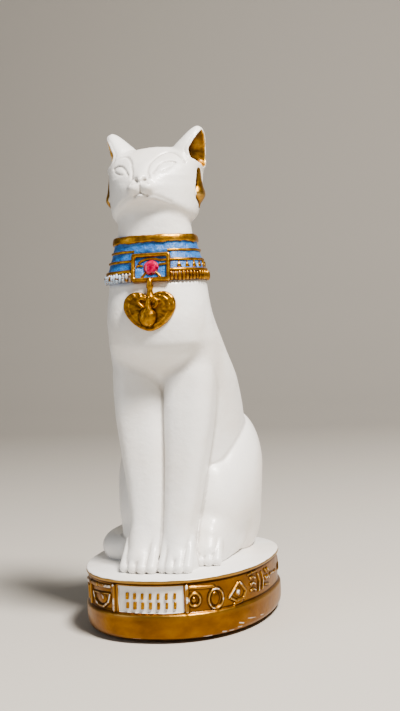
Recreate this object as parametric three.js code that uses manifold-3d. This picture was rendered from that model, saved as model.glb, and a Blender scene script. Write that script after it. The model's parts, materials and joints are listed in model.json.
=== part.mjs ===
// Seated Egyptian cat on an oval plinth. Millimetres, Z up, the cat looks along -Y.
// The origin is under the middle of the plinth. The cat's own left side is +X.
import * as THREE from 'three';
import * as BufferGeometryUtils from 'three/addons/utils/BufferGeometryUtils.js';
import Module from 'manifold-3d';

const wasm = await Module();
wasm.setup();

// Plinth
const PLINTH_HALF_WIDTH = 40.4;
const PLINTH_HALF_LENGTH = 49.9;
const PLINTH_TOP = 25.5;
const PLINTH_BOTTOM = 1.3;
const PLINTH_WIDEST = 6.2;
const PLINTH_POWER = 2.26;
const PLINTH_SIDES = 46;
// height and how far the wall stands in from the widest line
const PLINTH_WALL = [
  [PLINTH_BOTTOM, 3.4],
  [2.1, 1.6],
  [4.2, 0.3],
  [8.0, 0.0],
  [11.4, 0.15],
  [12.2, 1.15],
  [23.4, 1.15],
  [23.9, 0.5],
  [24.9, 0.4],
  [PLINTH_TOP, 1.0],
];
const BAND_INSET = 1.15;

// Recessed panel at the front of the plinth
const PANEL_WIDTH = 26.8;
const PANEL_BOTTOM = 12.2;
const PANEL_TOP = 22.7;
const PANEL_DEPTH = 0.8;
const STROKE_RISE = 0.55;

// Rubber feet
const PAD_RADIUS = 4.0;
const PAD_HEIGHT = 1.0;
const PAD_PLACES = [
  ['foot_pad_front_right', -23.5, -30.5],
  ['foot_pad_front_left', 19.5, -33.5],
  ['foot_pad_back_right', -21.0, 33.0],
  ['foot_pad_back_left', 21.0, 33.0],
];

// Collar, buckle and pendant are turned a little to the cat's left
const COLLAR_TURN = THREE.MathUtils.degToRad(6);
const GEM_RADIUS = 3.1;
const GEM_CLEARANCE = 0.35;
const BUCKLE_WIDTH = 15.8;
const BUCKLE_HEIGHT = 11.2;
const BUCKLE_LEAN = THREE.MathUtils.degToRad(14);
const BUCKLE_CENTRE = [2.4, -31.2, 149.1];
const BUCKLE_BAR = 1.35;
const PENDANT_WIDTH = 21.4;
const PENDANT_HEIGHT = 16.0;
const PENDANT_CENTRE = [2.0, -35.0, 131.2];
const PENDANT_LEAN = THREE.MathUtils.degToRad(5);

// Tail, seen from above, along the cat's right side
const TAIL_RADIUS = 5.7;
const TAIL_HEIGHT = 30.2;
const TAIL_LINE = [
  [4.0, 41.0],
  [-12.0, 43.0],
  [-24.0, 38.0],
  [-30.5, 27.0],
  [-31.8, 14.0],
  [-30.8, 3.4],
  [-27.4, -5.2],
  [-21.4, -8.8],
];

// Level sections: height, centre x, y of the widest line, half width, depth in front, depth behind
const TORSO = sections([
  [20.0, 0.0, 22.0, 24.0, 24.0, 20.0],
  [45.0, 0.0, 22.0, 26.0, 30.0, 22.5],
  [70.0, 0.0, 20.0, 26.5, 32.0, 21.0],
  [88.0, 0.0, 15.0, 26.6, 30.0, 18.0],
  [99.5, 0.0, 9.0, 26.4, 27.0, 17.5],
  [115.0, 0.0, -2.0, 24.0, 25.0, 18.0],
  [131.0, 0.0, -10.0, 20.6, 22.0, 18.0],
  [141.0, 0.0, -13.5, 20.4, 18.0, 17.0],
  [150.0, 0.0, -14.5, 18.4, 14.5, 16.0],
  [162.0, 0.0, -15.0, 15.8, 12.5, 15.0],
  [170.0, 0.0, -15.0, 15.0, 12.0, 14.5],
  [184.0, 0.0, -15.0, 14.5, 11.0, 13.0],
], 2.2, 2.2);
const CHEST = sections([
  [108.0, 0.0, -13.0, 10.0, 9.5, 8.0],
  [112.0, 0.0, -14.0, 17.0, 15.0, 10.0],
  [118.0, 0.0, -15.0, 20.2, 17.6, 12.0],
  [127.0, 0.0, -15.5, 21.2, 18.6, 12.0],
  [134.0, 0.0, -15.5, 20.6, 17.4, 12.0],
  [141.0, 0.0, -15.5, 18.5, 15.0, 12.0],
], 2.5, 2.2);
const LEG_RIGHT = sections([
  [20.0, -6.4, -26.0, 6.9, 5.6, 18.0],
  [36.0, -6.3, -25.0, 7.1, 6.4, 18.0],
  [53.0, -6.9, -21.0, 8.1, 7.6, 18.0],
  [74.0, -8.5, -17.0, 10.0, 9.0, 18.0],
  [90.0, -9.9, -14.0, 11.2, 10.0, 18.0],
  [103.0, -10.5, -12.0, 11.5, 10.2, 16.0],
  [115.0, -10.8, -11.0, 10.7, 9.2, 14.0],
  [126.0, -10.8, -11.0, 8.2, 7.4, 11.0],
  [137.0, -10.8, -11.0, 4.5, 4.0, 6.0],
], 2.6, 2.4);
const LEG_LEFT = sections([
  [20.0, 6.2, -26.0, 6.2, 5.6, 18.0],
  [36.0, 6.2, -25.0, 6.1, 6.4, 18.0],
  [53.0, 7.6, -21.0, 7.2, 7.6, 18.0],
  [74.0, 9.6, -17.0, 9.1, 9.0, 18.0],
  [90.0, 10.6, -14.0, 10.4, 10.0, 18.0],
  [103.0, 11.1, -12.0, 10.8, 10.2, 16.0],
  [115.0, 11.0, -11.0, 10.4, 9.2, 14.0],
  [126.0, 10.8, -11.0, 8.2, 7.4, 11.0],
  [137.0, 10.8, -11.0, 4.5, 4.0, 6.0],
], 2.6, 2.4);
const HEAD = sections([
  [160.0, 0.0, -13.0, 15.0, 13.0, 12.0, 1.8, 2.3],
  [168.0, 0.0, -13.0, 16.6, 17.5, 13.4, 1.8, 2.3],
  [173.0, 0.0, -12.5, 18.5, 20.0, 14.3, 1.7, 2.4],
  [177.0, 0.0, -12.0, 19.3, 20.6, 14.8, 1.65, 2.4],
  [181.0, 0.0, -12.0, 19.5, 20.8, 15.0, 1.62, 2.4],
  [184.0, 0.0, -12.0, 19.4, 19.8, 15.0, 1.65, 2.4],
  [187.0, 0.0, -12.0, 19.1, 17.6, 14.8, 1.8, 2.4],
  [190.0, 0.0, -12.0, 18.5, 14.6, 14.2, 2.0, 2.4],
  [193.0, 0.0, -12.0, 17.4, 11.4, 13.2, 2.1, 2.3],
  [195.7, 0.0, -11.5, 15.4, 8.4, 11.6, 2.2, 2.2],
  [198.1, 0.0, -11.0, 12.0, 5.8, 9.4, 2.2, 2.2],
  [199.8, 0.0, -10.5, 8.2, 3.4, 6.4, 2.0, 2.0],
  [200.6, 0.0, -10.0, 2.2, 1.0, 2.2, 2.0, 2.0],
], 2, 2);
const EAR = sections([
  [185.0, 11.6, -7.8, 9.0, 10.0, 9.6],
  [192.0, 12.1, -7.7, 9.4, 9.6, 9.0],
  [196.0, 13.5, -7.6, 8.4, 8.6, 8.0],
  [200.0, 15.1, -7.5, 7.0, 7.4, 6.8],
  [203.6, 16.9, -7.4, 5.0, 5.6, 5.2],
  [206.0, 18.0, -7.4, 3.4, 4.0, 3.8],
  [207.6, 18.7, -7.4, 1.9, 2.4, 2.3],
  [208.4, 19.0, -7.4, 0.6, 0.9, 0.9],
], 2, 2);
// The hollow of the ear, measured outwards from its mouth
const EAR_HOLLOW = sections([
  [191.0, 1.2, 0.0, 0.4, 0.5, 0.5],
  [193.0, 1.2, -0.1, 3.6, 4.2, 4.0],
  [196.5, 1.2, -0.2, 4.6, 5.9, 5.4],
  [200.5, 1.2, 0.0, 4.2, 5.0, 4.6],
  [203.6, 1.0, 0.2, 2.8, 3.0, 2.8],
  [206.0, 0.8, 0.5, 0.4, 0.4, 0.4],
], 2, 2);
const EAR_MOUTH = [20.2, -9.2];
const EAR_MOUTH_TURN = THREE.MathUtils.degToRad(20);
const COLLAR = sections([
  [140.0, 0.0, -14.5, 21.0, 18.4, 18.2],
  [143.5, 0.0, -14.5, 20.9, 18.0, 18.0],
  [147.6, 0.0, -14.5, 20.6, 17.2, 17.6],
  [151.8, 0.0, -14.5, 19.4, 15.8, 16.8],
  [155.7, 0.0, -14.5, 18.2, 14.4, 16.2],
  [160.8, 0.0, -14.5, 17.0, 13.2, 15.2],
  [164.0, 0.0, -14.5, 16.4, 12.8, 14.8],
], 2.2, 2.2);
// height and how far each line of the collar stands out from its wall
const COLLAR_LINES = [
  [143.0, -1.6],
  [143.6, 0.25],
  [146.6, 0.35],
  [147.4, 1.0],
  [148.6, 0.1],
  [151.2, 0.0],
  [151.9, 0.85],
  [152.7, 0.0],
  [155.1, 0.0],
  [155.9, 0.8],
  [156.6, 0.0],
  [159.4, 0.0],
  [159.8, 0.85],
  [161.9, 0.95],
  [162.7, -1.6],
];

// Smooth values between the rows of a table, with slopes that never overshoot.
function sections(rows, frontPower, backPower) {
  const heights = rows.map((row) => row[0]);
  const values = rows.map((row) => (row.length === 6 ? [...row.slice(1), frontPower, backPower] : row.slice(1)));
  const last = rows.length - 1;
  const rise = (i, j) => (values[i + 1][j] - values[i][j]) / (heights[i + 1] - heights[i]);
  const slopes = values.map((row, i) => row.map((value, j) => {
    if (i === 0) return rise(0, j);
    if (i === last) return rise(last - 1, j);
    const below = rise(i - 1, j);
    const above = rise(i, j);
    return below * above <= 0 ? 0 : (2 * below * above) / (below + above);
  }));
  return { heights, values, slopes };
}

function sectionAt(table, height) {
  const { heights, values, slopes } = table;
  let i = 0;
  while (i < heights.length - 2 && height > heights[i + 1]) i += 1;
  const span = heights[i + 1] - heights[i];
  const t = THREE.MathUtils.clamp((height - heights[i]) / span, 0, 1);
  const keepLow = 2 * t ** 3 - 3 * t ** 2 + 1;
  const keepHigh = 1 - keepLow;
  const leaveLow = span * (t ** 3 - 2 * t ** 2 + t);
  const meetHigh = span * (t ** 3 - t ** 2);
  return values[i].map((value, j) => value * keepLow + values[i + 1][j] * keepHigh
    + slopes[i][j] * leaveLow + slopes[i + 1][j] * meetHigh);
}

// Each surface below is a distance: negative inside, zero on the skin.
function fillet(a, b, width) {
  const share = THREE.MathUtils.clamp(0.5 + (0.5 * (b - a)) / width, 0, 1);
  return b + (a - b) * share - width * share * (1 - share);
}

function cut(a, b, width) {
  return -fillet(-a, -b, width);
}

function ellipsoid([x, y, z], [cx, cy, cz], [rx, ry, rz], lean = 0) {
  const c = Math.cos(lean);
  const s = Math.sin(lean);
  const u = (x - cx) / rx;
  const v = (c * (y - cy) + s * (z - cz)) / ry;
  const w = (c * (z - cz) - s * (y - cy)) / rz;
  const size = Math.hypot(u, v, w);
  return (size * (size - 1)) / (Math.hypot(u / rx, v / ry, w / rz) + 1e-6);
}

function taperedRod([x, y, z], [ax, ay, az], [bx, by, bz], startRadius, endRadius) {
  const dx = bx - ax;
  const dy = by - ay;
  const dz = bz - az;
  const along = ((x - ax) * dx + (y - ay) * dy + (z - az) * dz) / (dx * dx + dy * dy + dz * dz);
  const t = THREE.MathUtils.clamp(along, 0, 1);
  const gap = Math.hypot(x - ax - dx * t, y - ay - dy * t, z - az - dz * t);
  return gap - (startRadius + (endRadius - startRadius) * t);
}

function column([x, y, z], table) {
  const [cx, widest, halfWidth, front, back, frontPower, backPower] = sectionAt(table, z);
  const ahead = y < widest;
  const depth = ahead ? front : back;
  const n = ahead ? frontPower : backPower;
  const u = Math.abs(x - cx) / halfWidth + 1e-5;
  const v = Math.abs(y - widest) / depth + 1e-5;
  const size = (u ** n + v ** n) ** (1 / n);
  const steepness = Math.hypot(((u / size) ** (n - 1)) / halfWidth, ((v / size) ** (n - 1)) / depth) + 1e-6;
  const low = table.heights[0];
  const high = table.heights[table.heights.length - 1];
  return Math.max((size - 1) / steepness, low - z, z - high);
}

const UNDER_CHEST = 98;
const CHEST_FADE = 22;
const LEGS_TOP = 83;
function legs(p) {
  return fillet(column(p, LEG_RIGHT), column(p, LEG_LEFT), 1.2);
}

function trunk(p) {
  const chest = fillet(column(p, CHEST), taperedRod(p, [0, -19, 121], [0, -13.5, 105], 13, 4.5), 7);
  const body = fillet(column(p, TORSO), chest, 5);
  const rise = THREE.MathUtils.clamp((p[2] - UNDER_CHEST) / CHEST_FADE, 0, 1);
  return p[2] < LEGS_TOP ? body : fillet(body, legs(p), 1.2 + 5 * rise ** 1.5);
}

const JAW_BACK = 169.6;
const JAW_SLOPE = 0.41;
const JAW_HINGE = -14;
function head([x, y, z]) {
  const q = [Math.hypot(x, 0.2), y, z];
  const slope = (JAW_BACK - JAW_SLOPE * (y - JAW_HINGE) - z) / Math.hypot(1, JAW_SLOPE);
  const underside = cut(slope, JAW_BACK - z, 1.5);
  const skull = cut(column(q, HEAD), underside, 2);
  const nose = fillet(skull, taperedRod(q, [0, -23, 188], [0, -31.4, 184.2], 3.2, 1.7), 3.2);
  return fillet(nose, ellipsoid(q, [2.6, -29.6, 180.8], [3.2, 3.5, 2.8]), 2);
}

function trunkWithThroat(p) {
  const plain = trunk(p);
  return p[2] < 158 ? plain : Math.max(fillet(plain, head(p), 4), plain - 1.5);
}

function ear(p) {
  return Math.max(fillet(column(p, EAR), head(p), 2.5), column(p, EAR) - 0.9);
}

function earring([x, y, z]) {
  const q = [x, (y + 10) / 1.25 - 10, z];
  const drop = taperedRod(q, [17.9, -10.4, 188.6], [18.1, -9.6, 179.6], 1.6, 3.0);
  return fillet(drop, taperedRod(q, [18.1, -9.6, 179.6], [17.4, -8.8, 175.0], 2.6, 0.7), 1);
}

function haunch(p, side) {
  const q = [p[0] * side - 0.5 * side, p[1], p[2]];
  const slim = side > 0 ? 0 : 1;
  const lean = THREE.MathUtils.degToRad(54);
  const thigh = ellipsoid(q, [16.5, 17, 59.5], [16.4 - 1.6 * slim, 31, 19.5], lean);
  const rump = ellipsoid(q, [16.5, 22, 41], [13.8 - 4.6 * slim, 20, 21]);
  return fillet(fillet(thigh, rump, 7), ellipsoid(q, [17, -1, 43], [8, 11, 17]), 7);
}

// The left hind foot reaches forward; the tail's end hides the toes of the right one.
function hindFoot(p, side) {
  const q = [p[0] * side - 0.5 * side, p[1], p[2]];
  if (side < 0) {
    const sole = taperedRod(q, [17.6, -6, 30], [19.2, 8, 31], 6.4, 7.3);
    return fillet(sole, ellipsoid(q, [17.2, -5, 33], [7.2, 9, 9]), 3);
  }
  const sole = taperedRod(q, [16, -16.5, 29.5], [17.5, 6, 31], 5.8, 7.3);
  return fillet(sole, ellipsoid(q, [15.8, -8.5, 34], [7.4, 10.5, 9.4]), 3);
}

function frontPaw(p, centre, halfWidth) {
  const lean = THREE.MathUtils.degToRad(-12);
  const pad = ellipsoid(p, [centre, -27.5, 26.5], [halfWidth, 10, 8], lean);
  const wrist = taperedRod(p, [centre, -25.5, 37], [centre, -30.5, 30], halfWidth * 0.78, halfWidth * 0.74);
  return fillet(pad, wrist, 3);
}

// Turns a closed geometry into a solid, and back.
function solid(geometry) {
  const bare = geometry.index ? geometry.toNonIndexed() : geometry.clone();
  for (const name of Object.keys(bare.attributes)) {
    if (name !== 'position') bare.deleteAttribute(name);
  }
  const merged = BufferGeometryUtils.mergeVertices(bare, 1e-4);
  const mesh = new wasm.Mesh({
    numProp: 3,
    vertProperties: new Float32Array(merged.attributes.position.array),
    triVerts: new Uint32Array(merged.index.array),
  });
  return new wasm.Manifold(mesh);
}

function joined(solids) {
  return solids.reduce((whole, next) => whole.add(next));
}

// Draws together the ends of edges shorter than the given length, which joining leaves along the seams.
function closedUp(body, shortest) {
  const mesh = body.getMesh();
  const points = [];
  for (let i = 0; i < mesh.vertProperties.length; i += 3) {
    points.push(new THREE.Vector3(...mesh.vertProperties.slice(i, i + 3)));
  }
  const faces = [];
  const around = points.map(() => new Set());
  for (let i = 0; i < mesh.triVerts.length; i += 3) {
    const face = [...mesh.triVerts.slice(i, i + 3)];
    face.forEach((corner) => around[corner].add(faces.length));
    faces.push(face);
  }
  const normal = (face) => {
    const [a, b, c] = face.map((corner) => points[corner]);
    return b.clone().sub(a).cross(c.clone().sub(a));
  };
  const neighbours = (corner) => new Set([...around[corner]].flatMap((f) => faces[f]));
  const keepsForm = (from, to) => [...around[from]].every((f) => {
    if (faces[f].includes(to)) return true;
    const before = normal(faces[f]);
    const after = normal(faces[f].map((corner) => (corner === from ? to : corner)));
    return after.dot(before) > 0.6 * after.length() * before.length() && after.length() > 1e-3;
  });
  const drawIn = (from, to) => {
    const other = neighbours(to);
    const shared = [...neighbours(from)].filter((corner) => other.has(corner) && corner !== from && corner !== to);
    if (shared.length !== 2 || !keepsForm(from, to)) return false;
    for (const f of [...around[from]]) {
      if (faces[f].includes(to)) {
        faces[f].forEach((corner) => around[corner].delete(f));
        faces[f] = null;
      } else {
        faces[f] = faces[f].map((corner) => (corner === from ? to : corner));
        around[to].add(f);
      }
    }
    around[from].clear();
    return true;
  };
  for (let limit = shortest / 4; limit <= shortest * 1.001; limit *= Math.SQRT2) {
    for (let f = 0; f < faces.length; f += 1) {
      for (let k = 0; k < 3 && faces[f]; k += 1) {
        const a = faces[f][k];
        const b = faces[f][(k + 1) % 3];
        if (points[a].distanceTo(points[b]) < limit && !drawIn(a, b)) drawIn(b, a);
      }
    }
  }
  const kept = faces.filter(Boolean);
  const number = new Map();
  kept.flat().forEach((corner) => number.has(corner) || number.set(corner, number.size));
  const vertProperties = new Float32Array([...number.keys()].flatMap((corner) => points[corner].toArray()));
  const triVerts = new Uint32Array(kept.flat().map((corner) => number.get(corner)));
  return new wasm.Manifold(new wasm.Mesh({ numProp: 3, vertProperties, triVerts }));
}

function meshOf(body, name, look) {
  const mesh = body.getMesh();
  const geometry = new THREE.BufferGeometry();
  geometry.setAttribute('position', new THREE.BufferAttribute(new Float32Array(mesh.vertProperties), 3));
  geometry.setIndex(new THREE.BufferAttribute(new Uint32Array(mesh.triVerts), 1));
  geometry.computeVertexNormals();
  const result = new THREE.Mesh(geometry, new THREE.MeshStandardMaterial(look));
  result.name = name;
  return result;
}

// Moves each vertex outwards along its ray until it lies on the surface.
const WALK_STEP = 0.8;
const WALK_LIMIT = 90;
const HALVINGS = 14;
function ontoSurface(geometry, rayFor, surface) {
  const position = geometry.attributes.position;
  const vertex = new THREE.Vector3();
  for (let i = 0; i < position.count; i += 1) {
    vertex.fromBufferAttribute(position, i);
    const { start, way, push = 0 } = rayFor(vertex);
    const at = (t) => [start[0] + way[0] * t, start[1] + way[1] * t, start[2] + way[2] * t];
    let outside = 0;
    if (Math.hypot(...way) > 0.5) {
      while (surface(at(outside)) < 0 && outside < WALK_LIMIT) outside += WALK_STEP;
      let inside = Math.max(outside - WALK_STEP, 0);
      for (let k = 0; k < HALVINGS; k += 1) {
        const middle = (inside + outside) / 2;
        if (surface(at(middle)) < 0) inside = middle;
        else outside = middle;
      }
    }
    position.setXYZ(i, ...at(outside + (outside > 0 ? push : 0)));
  }
  return geometry;
}

// Packs the directions closer together around the front, -Y.
function frontPacked(angle, packing) {
  const fromFront = THREE.MathUtils.euclideanModulo(angle + Math.PI / 2 + Math.PI, 2 * Math.PI) - Math.PI;
  const u = fromFront / Math.PI;
  return -Math.PI / 2 + Math.PI * (u * (1 - packing) + packing * u ** 3);
}

// A closed drum whose rows lie at the given heights and whose wall lies on the surface.
function drum(sides, heights, axisAt, surface, { packing = 0, pushes = null } = {}) {
  const geometry = new THREE.CylinderGeometry(1, 1, 1, sides, heights.length - 1);
  return ontoSurface(geometry, (v) => {
    const row = Math.round((v.y + 0.5) * (heights.length - 1));
    const [cx, cy] = axisAt(heights[row]);
    const radius = Math.hypot(v.x, v.z);
    const angle = frontPacked(Math.atan2(-v.z, v.x), packing);
    const way = radius < 0.5 ? [0, 0, 0] : [Math.cos(angle), Math.sin(angle), 0];
    return { start: [cx, cy, heights[row]], way, push: pushes ? pushes[row] : 0 };
  }, surface);
}

function ball(across, up, centre, surface, packing = 0) {
  const geometry = new THREE.SphereGeometry(1, across, up);
  return ontoSurface(geometry, (v) => {
    const level = Math.hypot(v.x, v.z);
    const angle = frontPacked(Math.atan2(-v.z, v.x), packing);
    const way = level < 1e-4 ? [0, 0, Math.sign(v.y)] : [Math.cos(angle) * level, Math.sin(angle) * level, v.y];
    return { start: centre, way };
  }, surface);
}

function placed(geometry, place) {
  const { at = [0, 0, 0], turn = [0, 0, 0], scale = [1, 1, 1] } = place;
  const matrix = new THREE.Matrix4().compose(
    new THREE.Vector3(...at),
    new THREE.Quaternion().setFromEuler(new THREE.Euler(...turn, 'ZYX')),
    new THREE.Vector3(...scale),
  );
  return geometry.applyMatrix4(matrix);
}

function mirrored(body) {
  return body.mirror([1, 0, 0]);
}

// Trunk, front legs and neck
const TRUNK_SIDES = 36;
const TRUNK_ROWS = [
  23, 41, 59, 72, 82.6, LEGS_TOP, 92, 98, 102, 106, 110, 114, 119, 125, 131, 138, 144,
  158, 163, 166, 169, 172, 175,
];
const trunkAxis = sections([
  [20.0, 0.0, 14.0, 1, 1, 1],
  [70.0, 0.0, 12.0, 1, 1, 1],
  [83.0, 0.0, -4.0, 1, 1, 1],
  [90.0, 0.0, -4.0, 1, 1, 1],
  [120.0, 0.0, -8.0, 1, 1, 1],
  [150.0, 0.0, -14.0, 1, 1, 1],
  [180.0, 0.0, -15.0, 1, 1, 1],
], 2, 2);
const trunkBody = drum(TRUNK_SIDES, TRUNK_ROWS, (z) => sectionAt(trunkAxis, z).slice(0, 2), trunkWithThroat, { packing: 0.45 });

const LEG_ROWS = [23, 35, 47, 59, 71, LEGS_TOP + 1];
const legsBody = drum(30, LEG_ROWS, (z) => [0, z < 40 ? -20 : -17], legs, { packing: 0.3 });

// Head, ears and earrings
const headBody = ball(30, 19, [0, -12, 183], head, 0.45);
const EAR_ROWS = [188, 193, 197, 201, 204.6, 207.2, 208.3];
const earAxis = (z) => sectionAt(EAR, z).slice(0, 2);
const earBody = drum(10, EAR_ROWS, earAxis, ear);
const hollowRows = [191.2, 193, 196.5, 201, 204.4, 205.9];
const hollow = drum(10, hollowRows, (z) => sectionAt(EAR_HOLLOW, z).slice(0, 2), (p) => column(p, EAR_HOLLOW));
placed(hollow, { at: [EAR_MOUTH[0], EAR_MOUTH[1], 0], turn: [0, 0, -EAR_MOUTH_TURN] });
const earringBody = ball(7, 7, [18, -10, 181], earring);

// Haunches, paws and toes
function haunchBody(side) {
  return ball(22, 15, [16.5 * side, 15, 46], (p) => Math.max(haunch(p, side), 22.5 - p[2]), 0.2);
}
function hindFootBody(side) {
  return ball(10, 7, [17.5 * side, -5, 30], (p) => Math.max(hindFoot(p, side), 22.5 - p[2]), 0.3);
}
function pawBody(centre, halfWidth) {
  return ball(10, 8, [centre, -28, 28], (p) => Math.max(frontPaw(p, centre, halfWidth), 22.5 - p[2]), 0.3);
}

function toe(start, end, startRadius, endRadius) {
  const a = new THREE.Vector3(...start);
  const b = new THREE.Vector3(...end);
  const length = a.distanceTo(b);
  const geometry = new THREE.CapsuleGeometry(1, length, 2, 6);
  const position = geometry.attributes.position;
  const half = length / 2;
  for (let i = 0; i < position.count; i += 1) {
    const y = position.getY(i);
    const share = THREE.MathUtils.clamp((y + half) / length, 0, 1);
    const radius = THREE.MathUtils.lerp(startRadius, endRadius, share);
    const cap = y - THREE.MathUtils.clamp(y, -half, half);
    position.setXYZ(i, position.getX(i) * radius, y - cap + cap * radius, position.getZ(i) * radius);
  }
  const turn = new THREE.Quaternion().setFromUnitVectors(new THREE.Vector3(0, 1, 0), b.clone().sub(a).normalize());
  const middle = a.clone().add(b).multiplyScalar(0.5);
  return geometry.applyMatrix4(new THREE.Matrix4().compose(middle, turn, new THREE.Vector3(1, 1, 1)));
}

const TOES = 4;
// centre and half width of each front paw
const RIGHT_PAW = [-8.3, 8.1];
const LEFT_PAW = [7.3, 6.9];
const TOE_RIM = 25.2;
function frontToes(centre, halfWidth) {
  return Array.from({ length: TOES }, (unused, i) => {
    const place = i - (TOES - 1) / 2;
    const outer = Math.abs(place) / ((TOES - 1) / 2);
    const x = centre + place * halfWidth * 0.47;
    const tip = x + (0.3 * (x - centre)) / halfWidth;
    const turned = centre < 0 ? -0.9 * place : 0;
    return toe([x, -30 + 1.2 * outer + 0.5 * turned, 34.6], [tip, -37 + 1.2 * outer ** 2 + turned, 27.4], 2.2, 2.5);
  });
}
function hindToes() {
  return Array.from({ length: TOES }, (unused, i) => {
    const place = i - (TOES - 1) / 2;
    const outer = Math.abs(place) / ((TOES - 1) / 2);
    const x = 16.6 + place * 2.8;
    return toe([x, -16.6 + 0.8 * outer, 33.6], [x, -22.4 + 1.0 * outer ** 2, 27.4], 1.9, 2.3);
  });
}

// Tail
const TAIL_SIDES = 10;
const tailPath = new THREE.CatmullRomCurve3(
  TAIL_LINE.map(([x, y]) => new THREE.Vector3(x, y, TAIL_HEIGHT)),
  false,
  'catmullrom',
  0.5,
);
const round = new THREE.Shape().absarc(0, 0, TAIL_RADIUS, 0, 2 * Math.PI, false);
const tailBody = new THREE.ExtrudeGeometry(new THREE.Shape(round.getPoints(TAIL_SIDES / 2).slice(0, -1)), {
  steps: 12,
  extrudePath: tailPath,
  bevelEnabled: false,
});
const tailEnd = TAIL_LINE[TAIL_LINE.length - 1];
const tailTip = placed(new THREE.SphereGeometry(TAIL_RADIUS, 10, 7), { at: [tailEnd[0], tailEnd[1], TAIL_HEIGHT] });

// Plinth
function plinthReach(angle, inset) {
  let near = 0;
  let far = 2 * PLINTH_HALF_LENGTH;
  for (let halving = 0; halving < 40; halving += 1) {
    const r = (near + far) / 2;
    const y = r * Math.sin(angle) - PLINTH_WIDEST;
    const depth = PLINTH_HALF_LENGTH - Math.sign(y) * PLINTH_WIDEST - inset;
    const across = Math.abs(r * Math.cos(angle)) / (PLINTH_HALF_WIDTH - inset);
    if (across ** PLINTH_POWER + (Math.abs(y) / depth) ** PLINTH_POWER < 1) near = r;
    else far = r;
  }
  return near;
}
function plinthDrum(rows) {
  const geometry = new THREE.CylinderGeometry(1, 1, 1, PLINTH_SIDES, rows.length - 1);
  const position = geometry.attributes.position;
  for (let i = 0; i < position.count; i += 1) {
    const [height, inset] = rows[Math.round((position.getY(i) + 0.5) * (rows.length - 1))];
    const angle = Math.atan2(-position.getZ(i), position.getX(i));
    const radius = Math.hypot(position.getX(i), position.getZ(i)) < 0.5 ? 0 : plinthReach(angle, inset);
    position.setXYZ(i, radius * Math.cos(angle), radius * Math.sin(angle), height);
  }
  return geometry;
}
const plinthBody = solid(plinthDrum(PLINTH_WALL));
const panelFloor = solid(plinthDrum([[5, BAND_INSET + PANEL_DEPTH], [30, BAND_INSET + PANEL_DEPTH]]));
const panelBlock = solid(placed(new THREE.BoxGeometry(PANEL_WIDTH, 20, PANEL_TOP - PANEL_BOTTOM), {
  at: [0, -PLINTH_HALF_LENGTH, (PANEL_TOP + PANEL_BOTTOM) / 2],
}));

// Relief on the plinth: place is degrees round from the front towards +X, and height.
function onBand(geometry, degrees, height, inset = BAND_INSET) {
  const angle = THREE.MathUtils.degToRad(degrees) - Math.PI / 2;
  const step = 0.01;
  const point = (a) => {
    const r = plinthReach(a, inset);
    return new THREE.Vector3(r * Math.cos(a), r * Math.sin(a), 0);
  };
  const here = point(angle);
  const along = point(angle + step).sub(point(angle - step)).normalize();
  const up = new THREE.Vector3(0, 0, 1);
  const out = new THREE.Vector3().crossVectors(along, up);
  const matrix = new THREE.Matrix4().makeBasis(along, up, out).setPosition(here.x, here.y, height);
  return geometry.applyMatrix4(matrix);
}
const ROOT = 1.6;
function stroke(length, width, rise, tilt = 0) {
  return placed(new THREE.BoxGeometry(length, width, ROOT + rise), {
    at: [0, 0, (rise - ROOT) / 2],
    turn: [0, 0, THREE.MathUtils.degToRad(tilt)],
  });
}
function ring(outer, inner, rise) {
  const shape = new THREE.Shape().absarc(0, 0, outer, 0, 2 * Math.PI, false);
  shape.holes.push(new THREE.Path().absarc(0, 0, inner, 0, 2 * Math.PI, true));
  const geometry = new THREE.ExtrudeGeometry(shape, { depth: ROOT + rise, bevelEnabled: false, curveSegments: 4 });
  return placed(geometry, { at: [0, 0, -ROOT] });
}
function disc(radius, rise) {
  return placed(new THREE.CylinderGeometry(radius * 0.55, radius, ROOT + rise, 9), {
    at: [0, 0, (rise - ROOT) / 2],
    turn: [Math.PI / 2, 0, 0],
  });
}

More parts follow.
